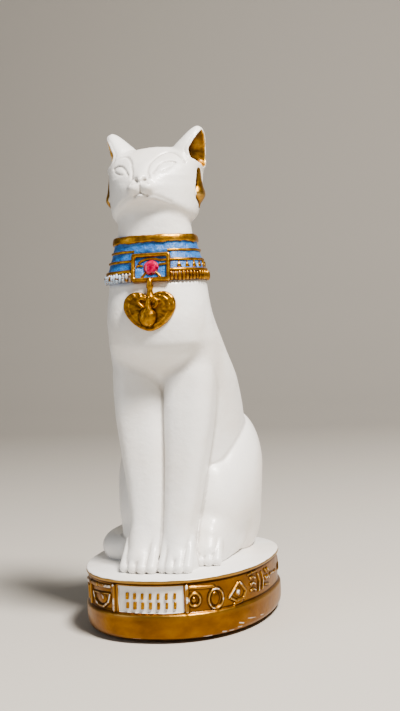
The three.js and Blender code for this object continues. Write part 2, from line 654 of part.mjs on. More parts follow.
const PANEL_INSET = BAND_INSET + PANEL_DEPTH;
const MARK_ROWS = [14.9, 17.9];
const MARKS_IN_ROW = 7;
const MARK_SPREAD = 23.4;
const marks = MARK_ROWS.flatMap((height, row) => Array.from({ length: MARKS_IN_ROW }, (unused, i) => {
  const degrees = (i / (MARKS_IN_ROW - 1) - 0.5) * MARK_SPREAD;
  const tilt = (i + row) % 3 === 0 ? 65 : 90;
  return onBand(stroke(2.2, 0.95, STROKE_RISE, tilt), degrees, height, PANEL_INSET);
}));
const RAISED = 0.7;
const bandRelief = [
  onBand(stroke(11.0, 1.5, RAISED, 90), -17.6, 17.5),
  onBand(stroke(11.0, 1.5, RAISED, 90), 17.4, 17.5),
  onBand(stroke(9.0, 2.6, RAISED), -25.0, 21.2),
  onBand(stroke(7.0, 2.4, RAISED), -36.0, 21.2),
  onBand(disc(3.4, 0.9).scale(1, 0.8, 1), -24.3, 17.6),
  onBand(stroke(4.4, 0.9, RAISED, -62), -31.0, 17.2),
  onBand(stroke(5.2, 0.9, RAISED, 8), -26.4, 14.6),
  onBand(stroke(4.4, 0.9, RAISED, 62), -21.2, 16.6),
  onBand(ring(3.1, 1.9, RAISED), 21.4, 17.3),
  onBand(stroke(6.0, 0.9, RAISED), 21.4, 21.6),
  onBand(ring(3.9, 3.0, RAISED), 30.6, 16.7),
  onBand(disc(2.5, 0.9), 30.6, 16.9),
  onBand(stroke(6.2, 1.0, RAISED, 48), 41.3, 18.6),
  onBand(stroke(4.6, 1.2, RAISED, -55), 48.4, 18.4),
  onBand(disc(2.7, 0.8), 44.5, 16.6),
  onBand(stroke(5.6, 0.9, RAISED), 45.0, 12.9),
  onBand(ring(2.4, 1.4, RAISED).scale(1, 1.2, 1), 60.4, 19.4),
  onBand(stroke(4.2, 0.9, RAISED, 70), 60.2, 15.2),
  onBand(stroke(6.6, 0.9, RAISED), 60.0, 22.2),
  onBand(stroke(6.4, 1.0, RAISED, 96), 69.6, 17.4),
  onBand(stroke(4.6, 0.8, RAISED, 76), 72.6, 18.2),
  onBand(stroke(8.6, 1.0, RAISED, 94), 87.4, 18.0),
  onBand(stroke(6.0, 0.8, RAISED, 78), 90.6, 18.4),
  onBand(stroke(3.6, 0.9, RAISED, 4), 101.5, 17.0),
];

// Collar
const turnCollar = ([x, y, z]) => {
  const c = Math.cos(-COLLAR_TURN);
  const s = Math.sin(-COLLAR_TURN);
  return [c * x - s * (y + 14.5), s * x + c * (y + 14.5) - 14.5, z];
};
const collarBody = drum(
  32,
  COLLAR_LINES.map((line) => line[0]),
  () => [0, -14.5],
  (p) => column(turnCollar(p), COLLAR),
  { pushes: COLLAR_LINES.map((line) => line[1]) },
);

// Buckle: a frame with a plate, an eye-like relief and a round seat for the stone
function buckleFrame() {
  const w = BUCKLE_WIDTH / 2;
  const h = BUCKLE_HEIGHT / 2;
  const outline = (x, y, r) => [
    [-x + r, -y], [x - r, -y], [x, -y + r], [x, y - r], [x - r, y], [-x + r, y], [-x, y - r], [-x, -y + r],
  ].map((point) => new THREE.Vector2(...point));
  const shape = new THREE.Shape(outline(w, h, 1.1));
  shape.holes.push(new THREE.Path(outline(w - BUCKLE_BAR, h - BUCKLE_BAR, 0.7)));
  return new THREE.ExtrudeGeometry(shape, { depth: 5.4, bevelEnabled: false });
}
const buckleTurn = [Math.PI / 2 - BUCKLE_LEAN, 0, COLLAR_TURN];
const atBuckle = (geometry) => placed(geometry, { at: BUCKLE_CENTRE, turn: buckleTurn });
const BACKSET = -4.6;
const plate = new THREE.BoxGeometry(BUCKLE_WIDTH - 1.4, BUCKLE_HEIGHT - 1.4, 4.4);
const eyeArc = new THREE.CatmullRomCurve3([
  new THREE.Vector3(-5.4, 1.9, 0),
  new THREE.Vector3(-3.0, 3.2, 0),
  new THREE.Vector3(0.5, 3.9, 0),
  new THREE.Vector3(4.0, 3.0, 0),
  new THREE.Vector3(6.2, 2.8, 0),
]);
const thread = new THREE.Shape([[-0.4, -1], [0.4, -1], [0.5, 0.2], [0, 0.55], [-0.5, 0.2]].map((p) => new THREE.Vector2(...p)));
const buckleRelief = [
  new THREE.ExtrudeGeometry(thread, { steps: 6, extrudePath: eyeArc, bevelEnabled: false }),
];
for (const [x, y, length, tilt] of [[5.0, 0.6, 2.6, 0], [-2.6, -3.6, 3.0, 52], [3.4, -3.3, 3.2, -58], [-4.4, 0.3, 1.8, 12]]) {
  buckleRelief.push(placed(new THREE.BoxGeometry(length, 0.85, 1.6), {
    at: [x, y, -0.3],
    turn: [0, 0, THREE.MathUtils.degToRad(tilt)],
  }));
}
const PLATE_FACE = -0.35;
const buckle = [
  solid(atBuckle(placed(buckleFrame(), { at: [0, 0, BACKSET] }))),
  solid(atBuckle(placed(plate, { at: [0, 0, PLATE_FACE - 2.2] }))),
  ...buckleRelief.map((piece) => solid(atBuckle(piece))),
];
const SEAT_DEPTH = 1.6;
const seat = solid(atBuckle(placed(new THREE.CylinderGeometry(GEM_RADIUS + GEM_CLEARANCE, GEM_RADIUS + GEM_CLEARANCE, 6, 20), {
  at: [0.2, 0, PLATE_FACE - SEAT_DEPTH + 3],
  turn: [Math.PI / 2, 0, 0],
})));

// Pendant: heart-shaped wings, an oval body, and a stem up to the buckle
function heartShape(width, height) {
  const w = width / 2;
  const h = height / 2;
  const shape = new THREE.Shape();
  shape.moveTo(0, -h);
  shape.bezierCurveTo(w * 0.5, -h * 0.95, w * 1.05, -h * 0.15, w * 0.99, h * 0.38);
  shape.bezierCurveTo(w * 0.95, h * 0.9, w * 0.6, h * 1.03, w * 0.38, h * 0.98);
  shape.bezierCurveTo(w * 0.2, h * 0.95, w * 0.08, h * 0.8, 0, h * 0.62);
  shape.bezierCurveTo(-w * 0.08, h * 0.8, -w * 0.2, h * 0.95, -w * 0.38, h * 0.98);
  shape.bezierCurveTo(-w * 0.6, h * 1.03, -w * 0.95, h * 0.9, -w * 0.99, h * 0.38);
  shape.bezierCurveTo(-w * 1.05, -h * 0.15, -w * 0.5, -h * 0.95, 0, -h);
  return shape;
}
const heart = new THREE.ExtrudeGeometry(heartShape(PENDANT_WIDTH - 1, PENDANT_HEIGHT - 1), {
  depth: 4,
  bevelEnabled: true,
  bevelThickness: 0.7,
  bevelSize: 0.5,
  bevelSegments: 1,
  curveSegments: 5,
});
const pendantTurn = [Math.PI / 2 - PENDANT_LEAN, 0, COLLAR_TURN];
const atPendant = (geometry) => placed(geometry, { at: PENDANT_CENTRE, turn: pendantTurn });
const HEART_FACE = 0.3;
const stemLine = new THREE.LatheGeometry([
  [0, -1.5], [2.3, -1.2], [2.0, 1.2], [1.15, 2.8], [1.1, 3.6], [1.6, 4.4], [1.5, 5.6], [1.0, 6.6], [1.2, 8.2], [0, 8.2],
].map((point) => new THREE.Vector2(...point)), 8);
const pendant = [
  solid(atPendant(placed(heart, { at: [0, 0, HEART_FACE - 4.7] }))),
  solid(atPendant(placed(new THREE.SphereGeometry(1, 10, 7), { at: [0, -1.2, HEART_FACE], scale: [3.1, 4.4, 1.9] }))),
  solid(atPendant(placed(new THREE.SphereGeometry(1, 8, 6), { at: [0, 3.6, HEART_FACE], scale: [1.6, 2.2, 1.3] }))),
  solid(placed(stemLine, { at: [2.35, -33.9, 136.4], turn: [-0.02, 0, 0] })),
];

const casting = joined([
  solid(trunkBody),
  solid(legsBody),
  solid(headBody),
  solid(haunchBody(1)),
  solid(haunchBody(-1)),
  solid(hindFootBody(1)),
  solid(hindFootBody(-1)),
  solid(pawBody(...RIGHT_PAW)),
  solid(pawBody(...LEFT_PAW)),
  ...[...frontToes(...RIGHT_PAW), ...frontToes(...LEFT_PAW), ...hindToes()].map(solid),
  solid(tailBody),
  solid(tailTip),
  solid(collarBody),
]);
const leftEar = solid(earBody).subtract(solid(hollow));
const leftEarring = solid(earringBody);
const withHead = joined([casting, leftEar, mirrored(leftEar), leftEarring, mirrored(leftEarring)]);
const abovePlinth = solid(placed(new THREE.BoxGeometry(120, 120, 260), { at: [0, 0, PLINTH_TOP - 1 + 130] }));
const base = joined([
  plinthBody.subtract(panelBlock.subtract(panelFloor)),
  ...marks.map(solid),
  ...bandRelief.map(solid),
]);
const SEAM = 0.9;
const statue = joined([
  closedUp(withHead.intersect(abovePlinth), SEAM),
  base,
  ...buckle,
  ...pendant,
]).subtract(seat);

// Faceted stone: flat back, slanted facets and a flat top
const stoneProfile = [
  [0, 0], [GEM_RADIUS * 0.72, 0], [GEM_RADIUS, 0.85], [GEM_RADIUS, 1.05], [GEM_RADIUS * 0.78, 1.75],
  [GEM_RADIUS * 0.5, 2.25], [0, 2.25],
].map((point) => new THREE.Vector2(...point));
const stone = placed(new THREE.LatheGeometry(stoneProfile, 12), { turn: [Math.PI / 2, 0, 0] });
const gem = solid(atBuckle(placed(stone, { at: [0.2, 0, PLATE_FACE - SEAT_DEPTH + 0.35] })));

const padProfile = [
  [0, 0], [PAD_RADIUS - 0.35, 0], [PAD_RADIUS, 0.35], [PAD_RADIUS - 0.15, PAD_HEIGHT], [0, PAD_HEIGHT],
].map((point) => new THREE.Vector2(...point));
function pad(x, y) {
  return solid(placed(new THREE.LatheGeometry(padProfile, 16), { at: [x, y, 0], turn: [Math.PI / 2, 0, 0] }));
}

const group = new THREE.Group();
group.name = 'egyptian_cat_statue';
group.add(meshOf(statue, 'cat_statue', { color: 0xeeeae4, roughness: 0.3, metalness: 0 }));
group.add(meshOf(gem, 'collar_gem', { color: 0xd8123c, roughness: 0.05, metalness: 0 }));
for (const [name, x, y] of PAD_PLACES) {
  group.add(meshOf(pad(x, y), name, { color: 0x151515, roughness: 0.8, metalness: 0 }));
}

export default group;
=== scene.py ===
# %% [markdown]
# # A seated cat of ancient Egypt, dressed for its picture
#
# The real object is one casting: a seated cat on a rounded plinth, painted glossy white, with a
# blue and gold collar, a gold pendant, gold in its ears and gold round the plinth. A pink-red stone
# is glued into the buckle, and four rubber feet are stuck under the plinth.
#
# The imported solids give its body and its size. They could be smoothed and shown as they are, but
# their faces are too large for toes, eyelids and carved marks. So the same forms are built again
# here as fine meshes, from nearly the same numbers, and lie close to the solids. Lengths in the
# forms are millimetres. The meshes are in metres, so every point is multiplied by MM on its way
# into one.

# %% Load the frame
import bpy
import bmesh
import json
import math
import time
import numpy as np
from mathutils import Matrix, Vector

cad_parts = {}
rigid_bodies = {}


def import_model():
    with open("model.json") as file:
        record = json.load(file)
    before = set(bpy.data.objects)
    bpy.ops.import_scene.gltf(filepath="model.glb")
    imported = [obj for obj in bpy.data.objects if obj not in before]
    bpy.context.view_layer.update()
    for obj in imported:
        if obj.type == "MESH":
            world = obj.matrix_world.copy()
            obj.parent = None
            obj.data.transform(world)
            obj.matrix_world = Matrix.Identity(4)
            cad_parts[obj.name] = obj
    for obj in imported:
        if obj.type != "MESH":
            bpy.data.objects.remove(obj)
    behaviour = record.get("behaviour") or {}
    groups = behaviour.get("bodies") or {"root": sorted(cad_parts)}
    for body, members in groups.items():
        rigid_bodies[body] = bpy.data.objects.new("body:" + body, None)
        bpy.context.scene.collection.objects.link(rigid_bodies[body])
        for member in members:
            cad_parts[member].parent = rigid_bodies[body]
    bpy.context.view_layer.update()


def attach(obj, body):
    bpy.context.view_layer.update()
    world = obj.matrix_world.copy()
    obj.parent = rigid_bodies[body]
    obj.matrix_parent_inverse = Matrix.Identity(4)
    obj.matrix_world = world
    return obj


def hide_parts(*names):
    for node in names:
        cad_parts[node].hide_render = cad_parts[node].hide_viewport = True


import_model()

MM = 0.001
F32 = np.float32
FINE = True
began = time.time()

# %% [markdown]
# The picture is taken from a little to the cat's left, nearly level, with the frame tilted by three
# degrees. A Track To constraint could aim the camera, but it can't hold a measured tilt. So the
# directions right, up and ahead are worked out from three angles, and become the columns of the
# camera's matrix. The place, the angles and the lens came from fitting the plinth's plan, the
# upright edges and the size of the stone. Azimuth 0 looks along +Y.

# %% Camera
EYE = (138.548, -478.765, 122.284)
AZIMUTH, PITCH, ROLL = math.radians(14.71), math.radians(1.23), math.radians(-3.01)
FOCAL_OVER_HEIGHT = 1152.0 / 711.0
SENSOR = 36.0


def add_object(name, data):
    """Put a mesh, a lamp or a lens into the scene as an object."""
    obj = bpy.data.objects.new(name, data)
    bpy.context.scene.collection.objects.link(obj)
    return obj


ca, sa = math.cos(AZIMUTH), math.sin(AZIMUTH)
cp, sp = math.cos(PITCH), math.sin(PITCH)
cr, sr = math.cos(ROLL), math.sin(ROLL)
level = Matrix(((ca, sa, 0), (-sa, ca, 0), (0, 0, 1)))
right = Vector((cr, sr * sp, sr * cp)) @ level
up = Vector((-sr, cr * sp, cr * cp)) @ level
ahead = Vector((0, cp, -sp)) @ level
lens = bpy.data.cameras.new("camera")
lens.sensor_fit = "VERTICAL"
lens.sensor_height = SENSOR
lens.lens = SENSOR * FOCAL_OVER_HEIGHT
camera = add_object("camera", lens)
pose = Matrix((right, up, -ahead)).transposed().to_4x4()
pose.translation = Vector(EYE) * MM
camera.matrix_world = pose
bpy.context.scene.camera = camera
print("camera:", round(lens.lens, 1), "mm lens,", round(Vector(EYE).length), "mm from the origin")

# %% [markdown]
# A cast figure has no hard joins: the chest flows into the legs, and the cheeks into the neck. Such
# a shape could be sculpted by hand, or put together with Boolean modifiers. The first can't be
# repeated from numbers, and the second leaves sharp seams. Here every form is a distance instead: a
# function that says how far a point is from the skin, negative inside and zero on the skin. Two
# distances join with a rounded seam when the smaller is taken and the two are mixed where they are
# nearly equal. The width k, in millimetres, says how wide that seam is.

# %% Join, meet and cut
def fillet(a, b, k):
    """Join two forms with a rounded seam k wide."""
    h = np.clip(0.5 + 0.5 * (b - a) / k, 0, 1)
    return b + (a - b) * h - k * h * (1 - h)


def meet(a, b, k):
    """Keep what lies in both forms, with a rounded edge."""
    return -fillet(-a, -b, k)


def cut(a, b, k):
    """Take the second form away from the first."""
    return meet(a, -b, k)


print("a 2 mm seam fills a corner by", round(float(-fillet(np.zeros(1), np.zeros(1), 2.0)[0]), 2), "mm")

# %% [markdown]
# Two simple forms carry most of the detail: an ellipsoid for pads and haunches, and a tapered rod
# with round ends for toes and feet. Mesh spheres and cylinders could stand there, but only
# distances join with a soft seam.

# %% Balls and tapered rods
def ellipsoid(p, centre, radii, lean=0.0):
    c, s = math.cos(math.radians(lean)), math.sin(math.radians(lean))
    d = p - np.array(centre, F32)
    q = np.stack([d[:, 0] / radii[0], (c * d[:, 1] + s * d[:, 2]) / radii[1],
        (c * d[:, 2] - s * d[:, 1]) / radii[2]], 1)
    size = np.sqrt((q * q).sum(1))
    steep = np.sqrt(((q / np.array(radii, F32)) ** 2).sum(1)) + 1e-6
    return size * (size - 1) / steep


def rod(p, a, b, ra, rb):
    """A rod with round ends, from radius ra at a to rb at b."""
    a, b = np.array(a, F32), np.array(b, F32)
    t = np.clip(((p - a) @ (b - a)) / ((b - a) @ (b - a)), 0, 1)
    return np.sqrt((((p - a) - t[:, None] * (b - a)) ** 2).sum(1)) - (ra + (rb - ra) * t)


print("a point 5 mm from a rod 2 mm thick is",
    float(rod(np.array([[5.0, 0, 0]], F32), (0, 0, -9), (0, 0, 9), 1, 1)[0]), "mm from its skin")

# %% [markdown]
# The torso, legs, head, ears and collar are outlines that change with height. They could be lofted
# as meshes, ring by ring, but meshes don't flow into each other. Here each is a column: a table of
# level sections, with a distance that any other form can join. Between two rows the values follow a
# curve that never swings past them, so that a smooth table gives a smooth flank.

# %% Columns from level sections
def sections(rows, front_power=2.2, back_power=2.2):
    return np.array([tuple(r) + ((front_power, back_power) if len(r) == 6 else ()) for r in rows])


def slopes(z, v):
    d = np.diff(v) / np.diff(z)
    m = np.concatenate([d[:1], np.zeros(len(z) - 2), d[-1:]])
    both = d[:-1] * d[1:]
    m[1:-1] = np.where(both > 0, 2 * both / np.where(both > 0, d[:-1] + d[1:], 1), 0)
    return m


def at_height(table, z):
    """The values of a table at any height, on a smooth curve through its rows."""
    zs = table[:, 0]
    k = np.clip(np.searchsorted(zs, z) - 1, 0, len(zs) - 2)
    h = zs[k + 1] - zs[k]
    t = np.clip((z - zs[k]) / h, 0, 1)
    low, high = 2 * t ** 3 - 3 * t ** 2 + 1, 3 * t ** 2 - 2 * t ** 3
    leave, arrive = h * (t ** 3 - 2 * t ** 2 + t), h * (t ** 3 - t ** 2)
    out = []
    for j in range(1, table.shape[1]):
        v = table[:, j]
        m = slopes(zs, v)
        out.append((v[k] * low + v[k + 1] * high + m[k] * leave + m[k + 1] * arrive).astype(F32))
    return out


def column(p, table):
    """The distance to a form given by level sections."""
    xc, widest, half, front, back, nf, nb = at_height(table, p[:, 2])
    dy = p[:, 1] - widest
    depth = np.where(dy < 0, front, back)
    n = np.where(dy < 0, nf, nb)
    u = np.abs(p[:, 0] - xc) / half + 1e-5
    v = np.abs(dy) / depth + 1e-5
    size = (u ** n + v ** n) ** (1 / n)
    steep = np.hypot((u / size) ** (n - 1) / half, (v / size) ** (n - 1) / depth) + 1e-6
    d = (size - 1) / steep
    return np.maximum(np.maximum(d, table[0, 0] - p[:, 2]), p[:, 2] - table[-1, 0]).astype(F32)


print("a column row holds: height, centre, widest line, half width, front, back and two powers")

# %% [markdown]
# These tables are the cat's own shape. Each row gives a height, the centre across, the line where
# the section is widest, the half width, and the depth in front of that line and behind it. Two
# powers say how square the section is in front and behind: 2 is an ellipse, and more is squarer.
# They could be read off the solids, but a table is easier to follow and to change. They began as
# the numbers that the solids were made from, and a few were refined since, so the fine mesh lies
# close to the solids.

# %% Tables of the torso and the front legs
TORSO = sections([
    (20.0, 0, 22.0, 24.0, 24.0, 20.0), (45.0, 0, 22.0, 26.0, 30.0, 22.5), (70.0, 0, 20.0, 26.5, 32.0, 21.0),
    (88.0, 0, 15.0, 26.6, 30.0, 18.0), (99.5, 0, 9.0, 26.4, 27.0, 17.5), (115.0, 0, -2.0, 24.0, 25.0, 18.0),
    (131.0, 0, -10.0, 20.6, 22.0, 18.0), (141.0, 0, -13.5, 20.4, 18.0, 17.0), (150.0, 0, -14.5, 18.4, 14.5, 16.0),
    (162.0, 0, -15.0, 15.8, 12.5, 15.0), (170.0, 0, -15.0, 15.0, 12.0, 14.5), (184.0, 0, -15.0, 14.5, 11.0, 13.0)])
CHEST = sections([(105.0, 0, -12.0, 3.0, 3.0, 3.0), (110.0, 0, -13.5, 13.0, 11.5, 9.0),
    (114.0, 0, -14.4, 18.0, 15.6, 11.0), (119.0, 0, -15.0, 20.6, 18.2, 12.0), (127.0, 0, -15.5, 21.2, 18.7, 12.0),
    (134.0, 0, -15.5, 20.6, 17.4, 12.0), (141.0, 0, -15.5, 18.5, 15.0, 12.0)], 2.5, 2.2)
LEG_RIGHT = sections([(20.0, -6.4, -26.0, 6.9, 5.6, 18.0), (36.0, -6.3, -25.0, 7.1, 6.4, 18.0),
    (53.0, -6.9, -21.0, 8.1, 7.6, 18.0), (74.0, -8.5, -17.0, 10.0, 9.0, 18.0), (90.0, -9.9, -14.0, 11.2, 10.0, 18.0),
    (103.0, -10.5, -12.0, 11.5, 10.2, 16.0), (115.0, -10.8, -11.0, 10.7, 9.2, 14.0),
    (126.0, -10.8, -11.0, 8.2, 7.4, 11.0), (137.0, -10.8, -11.0, 4.5, 4.0, 6.0)], 2.6, 2.4)
LEG_LEFT = sections([(20.0, 6.2, -26.0, 6.2, 5.6, 18.0), (36.0, 6.2, -25.0, 6.1, 6.4, 18.0),
    (53.0, 7.6, -21.0, 7.2, 7.6, 18.0), (74.0, 9.6, -17.0, 9.1, 9.0, 18.0), (90.0, 10.6, -14.0, 10.4, 10.0, 18.0),
    (103.0, 11.1, -12.0, 10.8, 10.2, 16.0), (115.0, 11.0, -11.0, 10.4, 9.2, 14.0),
    (126.0, 10.8, -11.0, 8.2, 7.4, 11.0), (137.0, 10.8, -11.0, 4.5, 4.0, 6.0)], 2.6, 2.4)
print("torso and legs:", len(TORSO) + len(CHEST) + len(LEG_RIGHT) + len(LEG_LEFT), "sections")

# %% Tables of the head and the ears
HEAD = sections([(160.0, 0, -13.0, 15.0, 13.0, 12.0, 1.8, 2.3), (168.0, 0, -13.0, 16.6, 17.5, 13.4, 1.8, 2.3),
    (173.0, 0, -12.5, 18.5, 20.0, 14.3, 1.7, 2.4), (177.0, 0, -12.0, 19.3, 20.6, 14.8, 1.65, 2.4),
    (181.0, 0, -12.0, 19.5, 20.8, 15.0, 1.62, 2.4), (184.0, 0, -12.0, 19.4, 19.8, 15.0, 1.65, 2.4),
    (187.0, 0, -12.0, 19.1, 17.6, 14.8, 1.8, 2.4), (190.0, 0, -12.0, 18.5, 14.6, 14.2, 2.0, 2.4),
    (193.0, 0, -12.0, 17.4, 11.4, 13.2, 2.1, 2.3), (195.7, 0, -11.5, 15.4, 8.4, 11.6, 2.2, 2.2),
    (198.1, 0, -11.0, 12.0, 5.8, 9.4, 2.2, 2.2), (199.8, 0, -10.5, 8.2, 3.4, 6.4, 2.0, 2.0),
    (200.6, 0, -10.0, 2.2, 1.0, 2.2, 2.0, 2.0)])
EAR = sections([(185.0, 11.2, -7.8, 8.2, 10.0, 9.6), (189.0, 11.6, -7.8, 8.6, 10.0, 9.4),
    (192.0, 12.1, -7.7, 9.4, 9.6, 9.0), (196.0, 13.5, -7.6, 8.4, 8.6, 8.0), (200.0, 15.1, -7.5, 7.0, 7.4, 6.8),
    (203.6, 16.9, -7.4, 5.0, 5.6, 5.2), (206.0, 18.0, -7.4, 3.4, 4.0, 3.8), (207.6, 18.7, -7.4, 1.9, 2.4, 2.3),
    (208.3, 19.0, -7.4, 0.6, 0.9, 0.9)], 2, 2)
EAR_HOLLOW = sections([(190.6, 1.2, 1.6, 0.4, 0.5, 0.5), (192.6, 1.0, 0.8, 3.2, 4.4, 3.4),
    (194.6, 0.6, 0.0, 4.6, 7.0, 5.0), (197.5, 0.6, -0.2, 5.0, 7.2, 5.4), (200.8, 0.9, 0.0, 4.4, 5.4, 4.8),
    (203.8, 1.0, 0.4, 3.0, 3.2, 3.0), (206.4, 0.8, 0.9, 0.4, 0.4, 0.4)], 2, 2)
print("head and ear:", len(HEAD) + len(EAR) + len(EAR_HOLLOW), "sections")

# %% Table of the collar, heights of the plinth, line of the tail
COLLAR = sections([
    (140.0, 0, -14.5, 21.0, 18.4, 18.2), (143.5, 0, -14.5, 20.9, 18.0, 18.0), (147.6, 0, -14.5, 20.6, 17.2, 17.6),
    (151.8, 0, -14.5, 19.4, 15.8, 16.8), (155.7, 0, -14.5, 18.2, 14.4, 16.2), (160.8, 0, -14.5, 17.0, 13.2, 15.2),
    (164.0, 0, -14.5, 16.4, 12.8, 14.8)])

COLLAR_TURN = math.radians(6)      # the collar is turned a little towards the cat's left
COLLAR_MIDDLE_Y = -14.5

PLINTH_TOP, PLINTH_BOTTOM = 25.5, 1.3
TAIL = [(4, 41), (-12, 43), (-24, 38), (-30.5, 27), (-31.8, 14), (-30.8, 3.4), (-27.4, -5.2), (-21.4, -8.8)]
TAIL_RADIUS, TAIL_HEIGHT = 5.7, 30.2
print("collar:", len(COLLAR), "sections, plinth", PLINTH_BOTTOM, "to", PLINTH_TOP, "mm")

# %% [markdown]
# The body starts with the trunk: the torso, a chest that ends in a soft step, and two front legs
# that stand fused, with a groove between them. One column could hold all of it, but then the groove
# and the step would need many more rows. Four simple forms, joined with seams of different widths,
# give both: a narrow seam leaves the groove between the legs, and it widens where they enter the
# chest.

# %% Trunk
def trunk(p):
    z = p[:, 2]
    chest = fillet(column(p, CHEST), rod(p, (0, -19, 121), (0, -13.5, 105), 13, 4.5), 7)
    body = fillet(column(p, TORSO), chest, 3.5)
    legs = fillet(column(p, LEG_RIGHT), column(p, LEG_LEFT), 1.2)
    return fillet(body, legs, 1.2 + 5 * np.clip((z - 98) / 22, 0, 1) ** 1.5)


print("trunk at the heart of the chest:", round(-float(trunk(np.array([[0, -15, 120]], F32))[0]), 1), "mm deep")

# %% [markdown]
# Each front paw is a flat pad with four toes, and a low web of the casting fills the space between
# the paws. Toes could be grooves cut into the pad, but on the casting they are round rolls with
# creases between them. So each toe is a tapered rod laid over the pad, with a narrow seam.

# %% Toes and front paws
def toes(p, base, centre, spread, start, end, radii, turn=0.0):
    """Lay four toes over a pad, the outer ones set back."""
    for i in range(4):
        place = i - 1.5
        outer = abs(place) / 1.5
        x = centre + place * spread
        top = (x, start[0] + start[2] * outer + 0.5 * turn * place, start[1])
        tip = (x + 0.04 * (x - centre), end[0] + end[2] * outer * outer + turn * place, end[1])
        base = fillet(base, rod(p, top, tip, *radii), 0.25)
    return base


def front_paws(p):
    paws = None
    for centre, w, turn in ((-8.3, 8.1, -0.9), (7.3, 6.9, 0.0)):
        pad = ellipsoid(p, (centre, -27.3, 26.2), (w, 9.3, 7.5), -12)
        one = fillet(pad, rod(p, (centre, -25.5, 37), (centre, -30.5, 30), w * 0.78, w * 0.74), 3)
        one = toes(p, one, centre, w * 0.48, (-28.6, 37.0, 1.2), (-37.0, 27.4, 1.2), (1.7, 2.3), turn)
        paws = one if paws is None else fillet(paws, one, 0.5)
    return fillet(paws, rod(p, (-0.9, -22, 26), (-0.8, -33.5, 25.2), 2.6, 1.8), 0.6)


print("front paws: 2 with 4 toes each")

# %% [markdown]
# A sitting cat's haunch is a large tilted oval with a rump behind it. In the photograph the hind
# foot shows on the cat's left only. The right side is hidden, and is a little slimmer here for the
# tail. Both sides could be modelled one by one. Instead one function makes either, by mirroring the
# points that it measures, and only the foot differs.

# %% Haunches and hind feet
def haunch(p, side):
    q = p * np.array([side, 1, 1], F32)
    q[:, 0] -= 0.5 * side
    slim = 0.0 if side > 0 else 1.0
    thigh = ellipsoid(q, (16.5, 17, 59.5), (16.4 - 1.6 * slim, 31, 19.5), 54)
    rump = ellipsoid(q, (16.5, 22, 41), (13.8 - 4.6 * slim, 20, 21))
    leg = fillet(fillet(thigh, rump, 7), ellipsoid(q, (17, -1, 43), (8, 11, 17)), 7)
    leg = fillet(leg, rod(q, (11.5, -4.5, 30), (13.5, -1.5, 60), 7.0, 6.0), 6)
    if side < 0:
        foot = fillet(rod(q, (17.6, -6, 30), (19.2, 8, 31), 6.4, 7.3), ellipsoid(q, (17.2, -5, 33), (7.2, 9, 9)), 3)
    else:
        foot = fillet(rod(q, (15.6, -16.5, 29.5), (17.5, 6, 31), 6.3, 7.3),
            ellipsoid(q, (15.4, -8.5, 34), (8.0, 10.5, 10.0)), 3)
        foot = toes(q, foot, 15.7, 3.1, (-16.2, 34.6, 0.8), (-22.4, 27.4, 1.0), (1.75, 2.2))
    return fillet(leg, foot, 3.5)


print("haunches: left with toes, right plain")

# %% [markdown]
# The tail leaves the back and lies along the cat's right side, towards the front paws. A curve with
# a bevel would draw it too, but it wouldn't join the body. Here it is a chain of short rods along a
# smooth path, which is one more distance.

# %% Tail
def spline(points, steps):
    pts = np.vstack([2 * points[0] - points[1], points, 2 * points[-1] - points[-2]])
    out = []
    for a, b, c, d in zip(pts[:-3], pts[1:-2], pts[2:-1], pts[3:]):
        for t in np.arange(steps) / steps:
            out.append(0.5 * (2 * b + (c - a) * t + (2 * a - 5 * b + 4 * c - d) * t * t
                + (3 * b - a - 3 * c + d) * t ** 3))
    return np.array(out + [points[-1]])


TAIL_PATH = spline(np.array([(x, y, TAIL_HEIGHT) for x, y in TAIL], float), 4)


def tail(p):
    d = np.full(len(p), 1e3, F32)
    for a, b in zip(TAIL_PATH[:-1], TAIL_PATH[1:]):
        d = np.minimum(d, rod(p, a, b, TAIL_RADIUS, TAIL_RADIUS))
    return d


print("tail:", len(TAIL_PATH) - 1, "short rods")

# %% [markdown]
# The face carries fine lines: a brow that runs down to the nose, the lids, nostrils and the mouth.
# They could be bump in the paint, but they are cut into the real casting and catch its shadows. So
# they are furrows in the form. Each line is drawn in the plane of the face, as distance from the
# middle and height, and presses the skin in by its depth. Only the front of the head gets them.

# %% Lines of the face
def line_distance(x, z, points):
    """The distance to a line of points in a flat drawing."""
    d = np.full(len(x), 1e3, F32)
    for (ax, az), (bx, bz) in zip(points[:-1], points[1:]):
        t = np.clip(((x - ax) * (bx - ax) + (z - az) * (bz - az)) / ((bx - ax) ** 2 + (bz - az) ** 2), 0, 1)
        d = np.minimum(d, np.hypot(x - ax - t * (bx - ax), z - az - t * (bz - az)))
    return d


def arc(points, steps=6):
    return spline(np.array(points, float), steps)


BROW = arc([(3.6, 185.4), (3.5, 189.0), (4.9, 193.2), (8.0, 196.3), (11.4, 196.6), (14.6, 194.6), (16.8, 191.8)])
LID_TOP = arc([(5.4, 187.2), (7.2, 190.3), (9.4, 192.0), (12.0, 192.3), (13.6, 191.7)])
LID_LOW = arc([(6.6, 188.2), (8.6, 187.9), (11.0, 188.8), (12.6, 190.1), (13.6, 191.7)])
CREASE = arc([(6.6, 188.6), (8.2, 190.6), (10.2, 191.3), (12.2, 191.0)])
MOUTH = arc([(0.0, 179.4), (1.2, 178.5), (3.0, 177.9), (5.0, 178.0), (7.6, 177.2), (11.0, 175.4)])
PHILTRUM = np.array([(0.0, 183.4), (0.0, 179.4)])
NOSE_WING = arc([(1.0, 183.0), (2.6, 183.2), (3.6, 182.6)])
EYE_CENTRE = (9.9, 190.0)
FACE_SHIFT = 1.5
print("face:", len(BROW) + len(LID_TOP) + len(LID_LOW) + len(CREASE) + len(MOUTH), "points in its lines")

# %% Furrows and eye sockets
def furrow(x, z, points, depth, width):
    return depth * np.exp(-(line_distance(x, z, points) / width) ** 2)


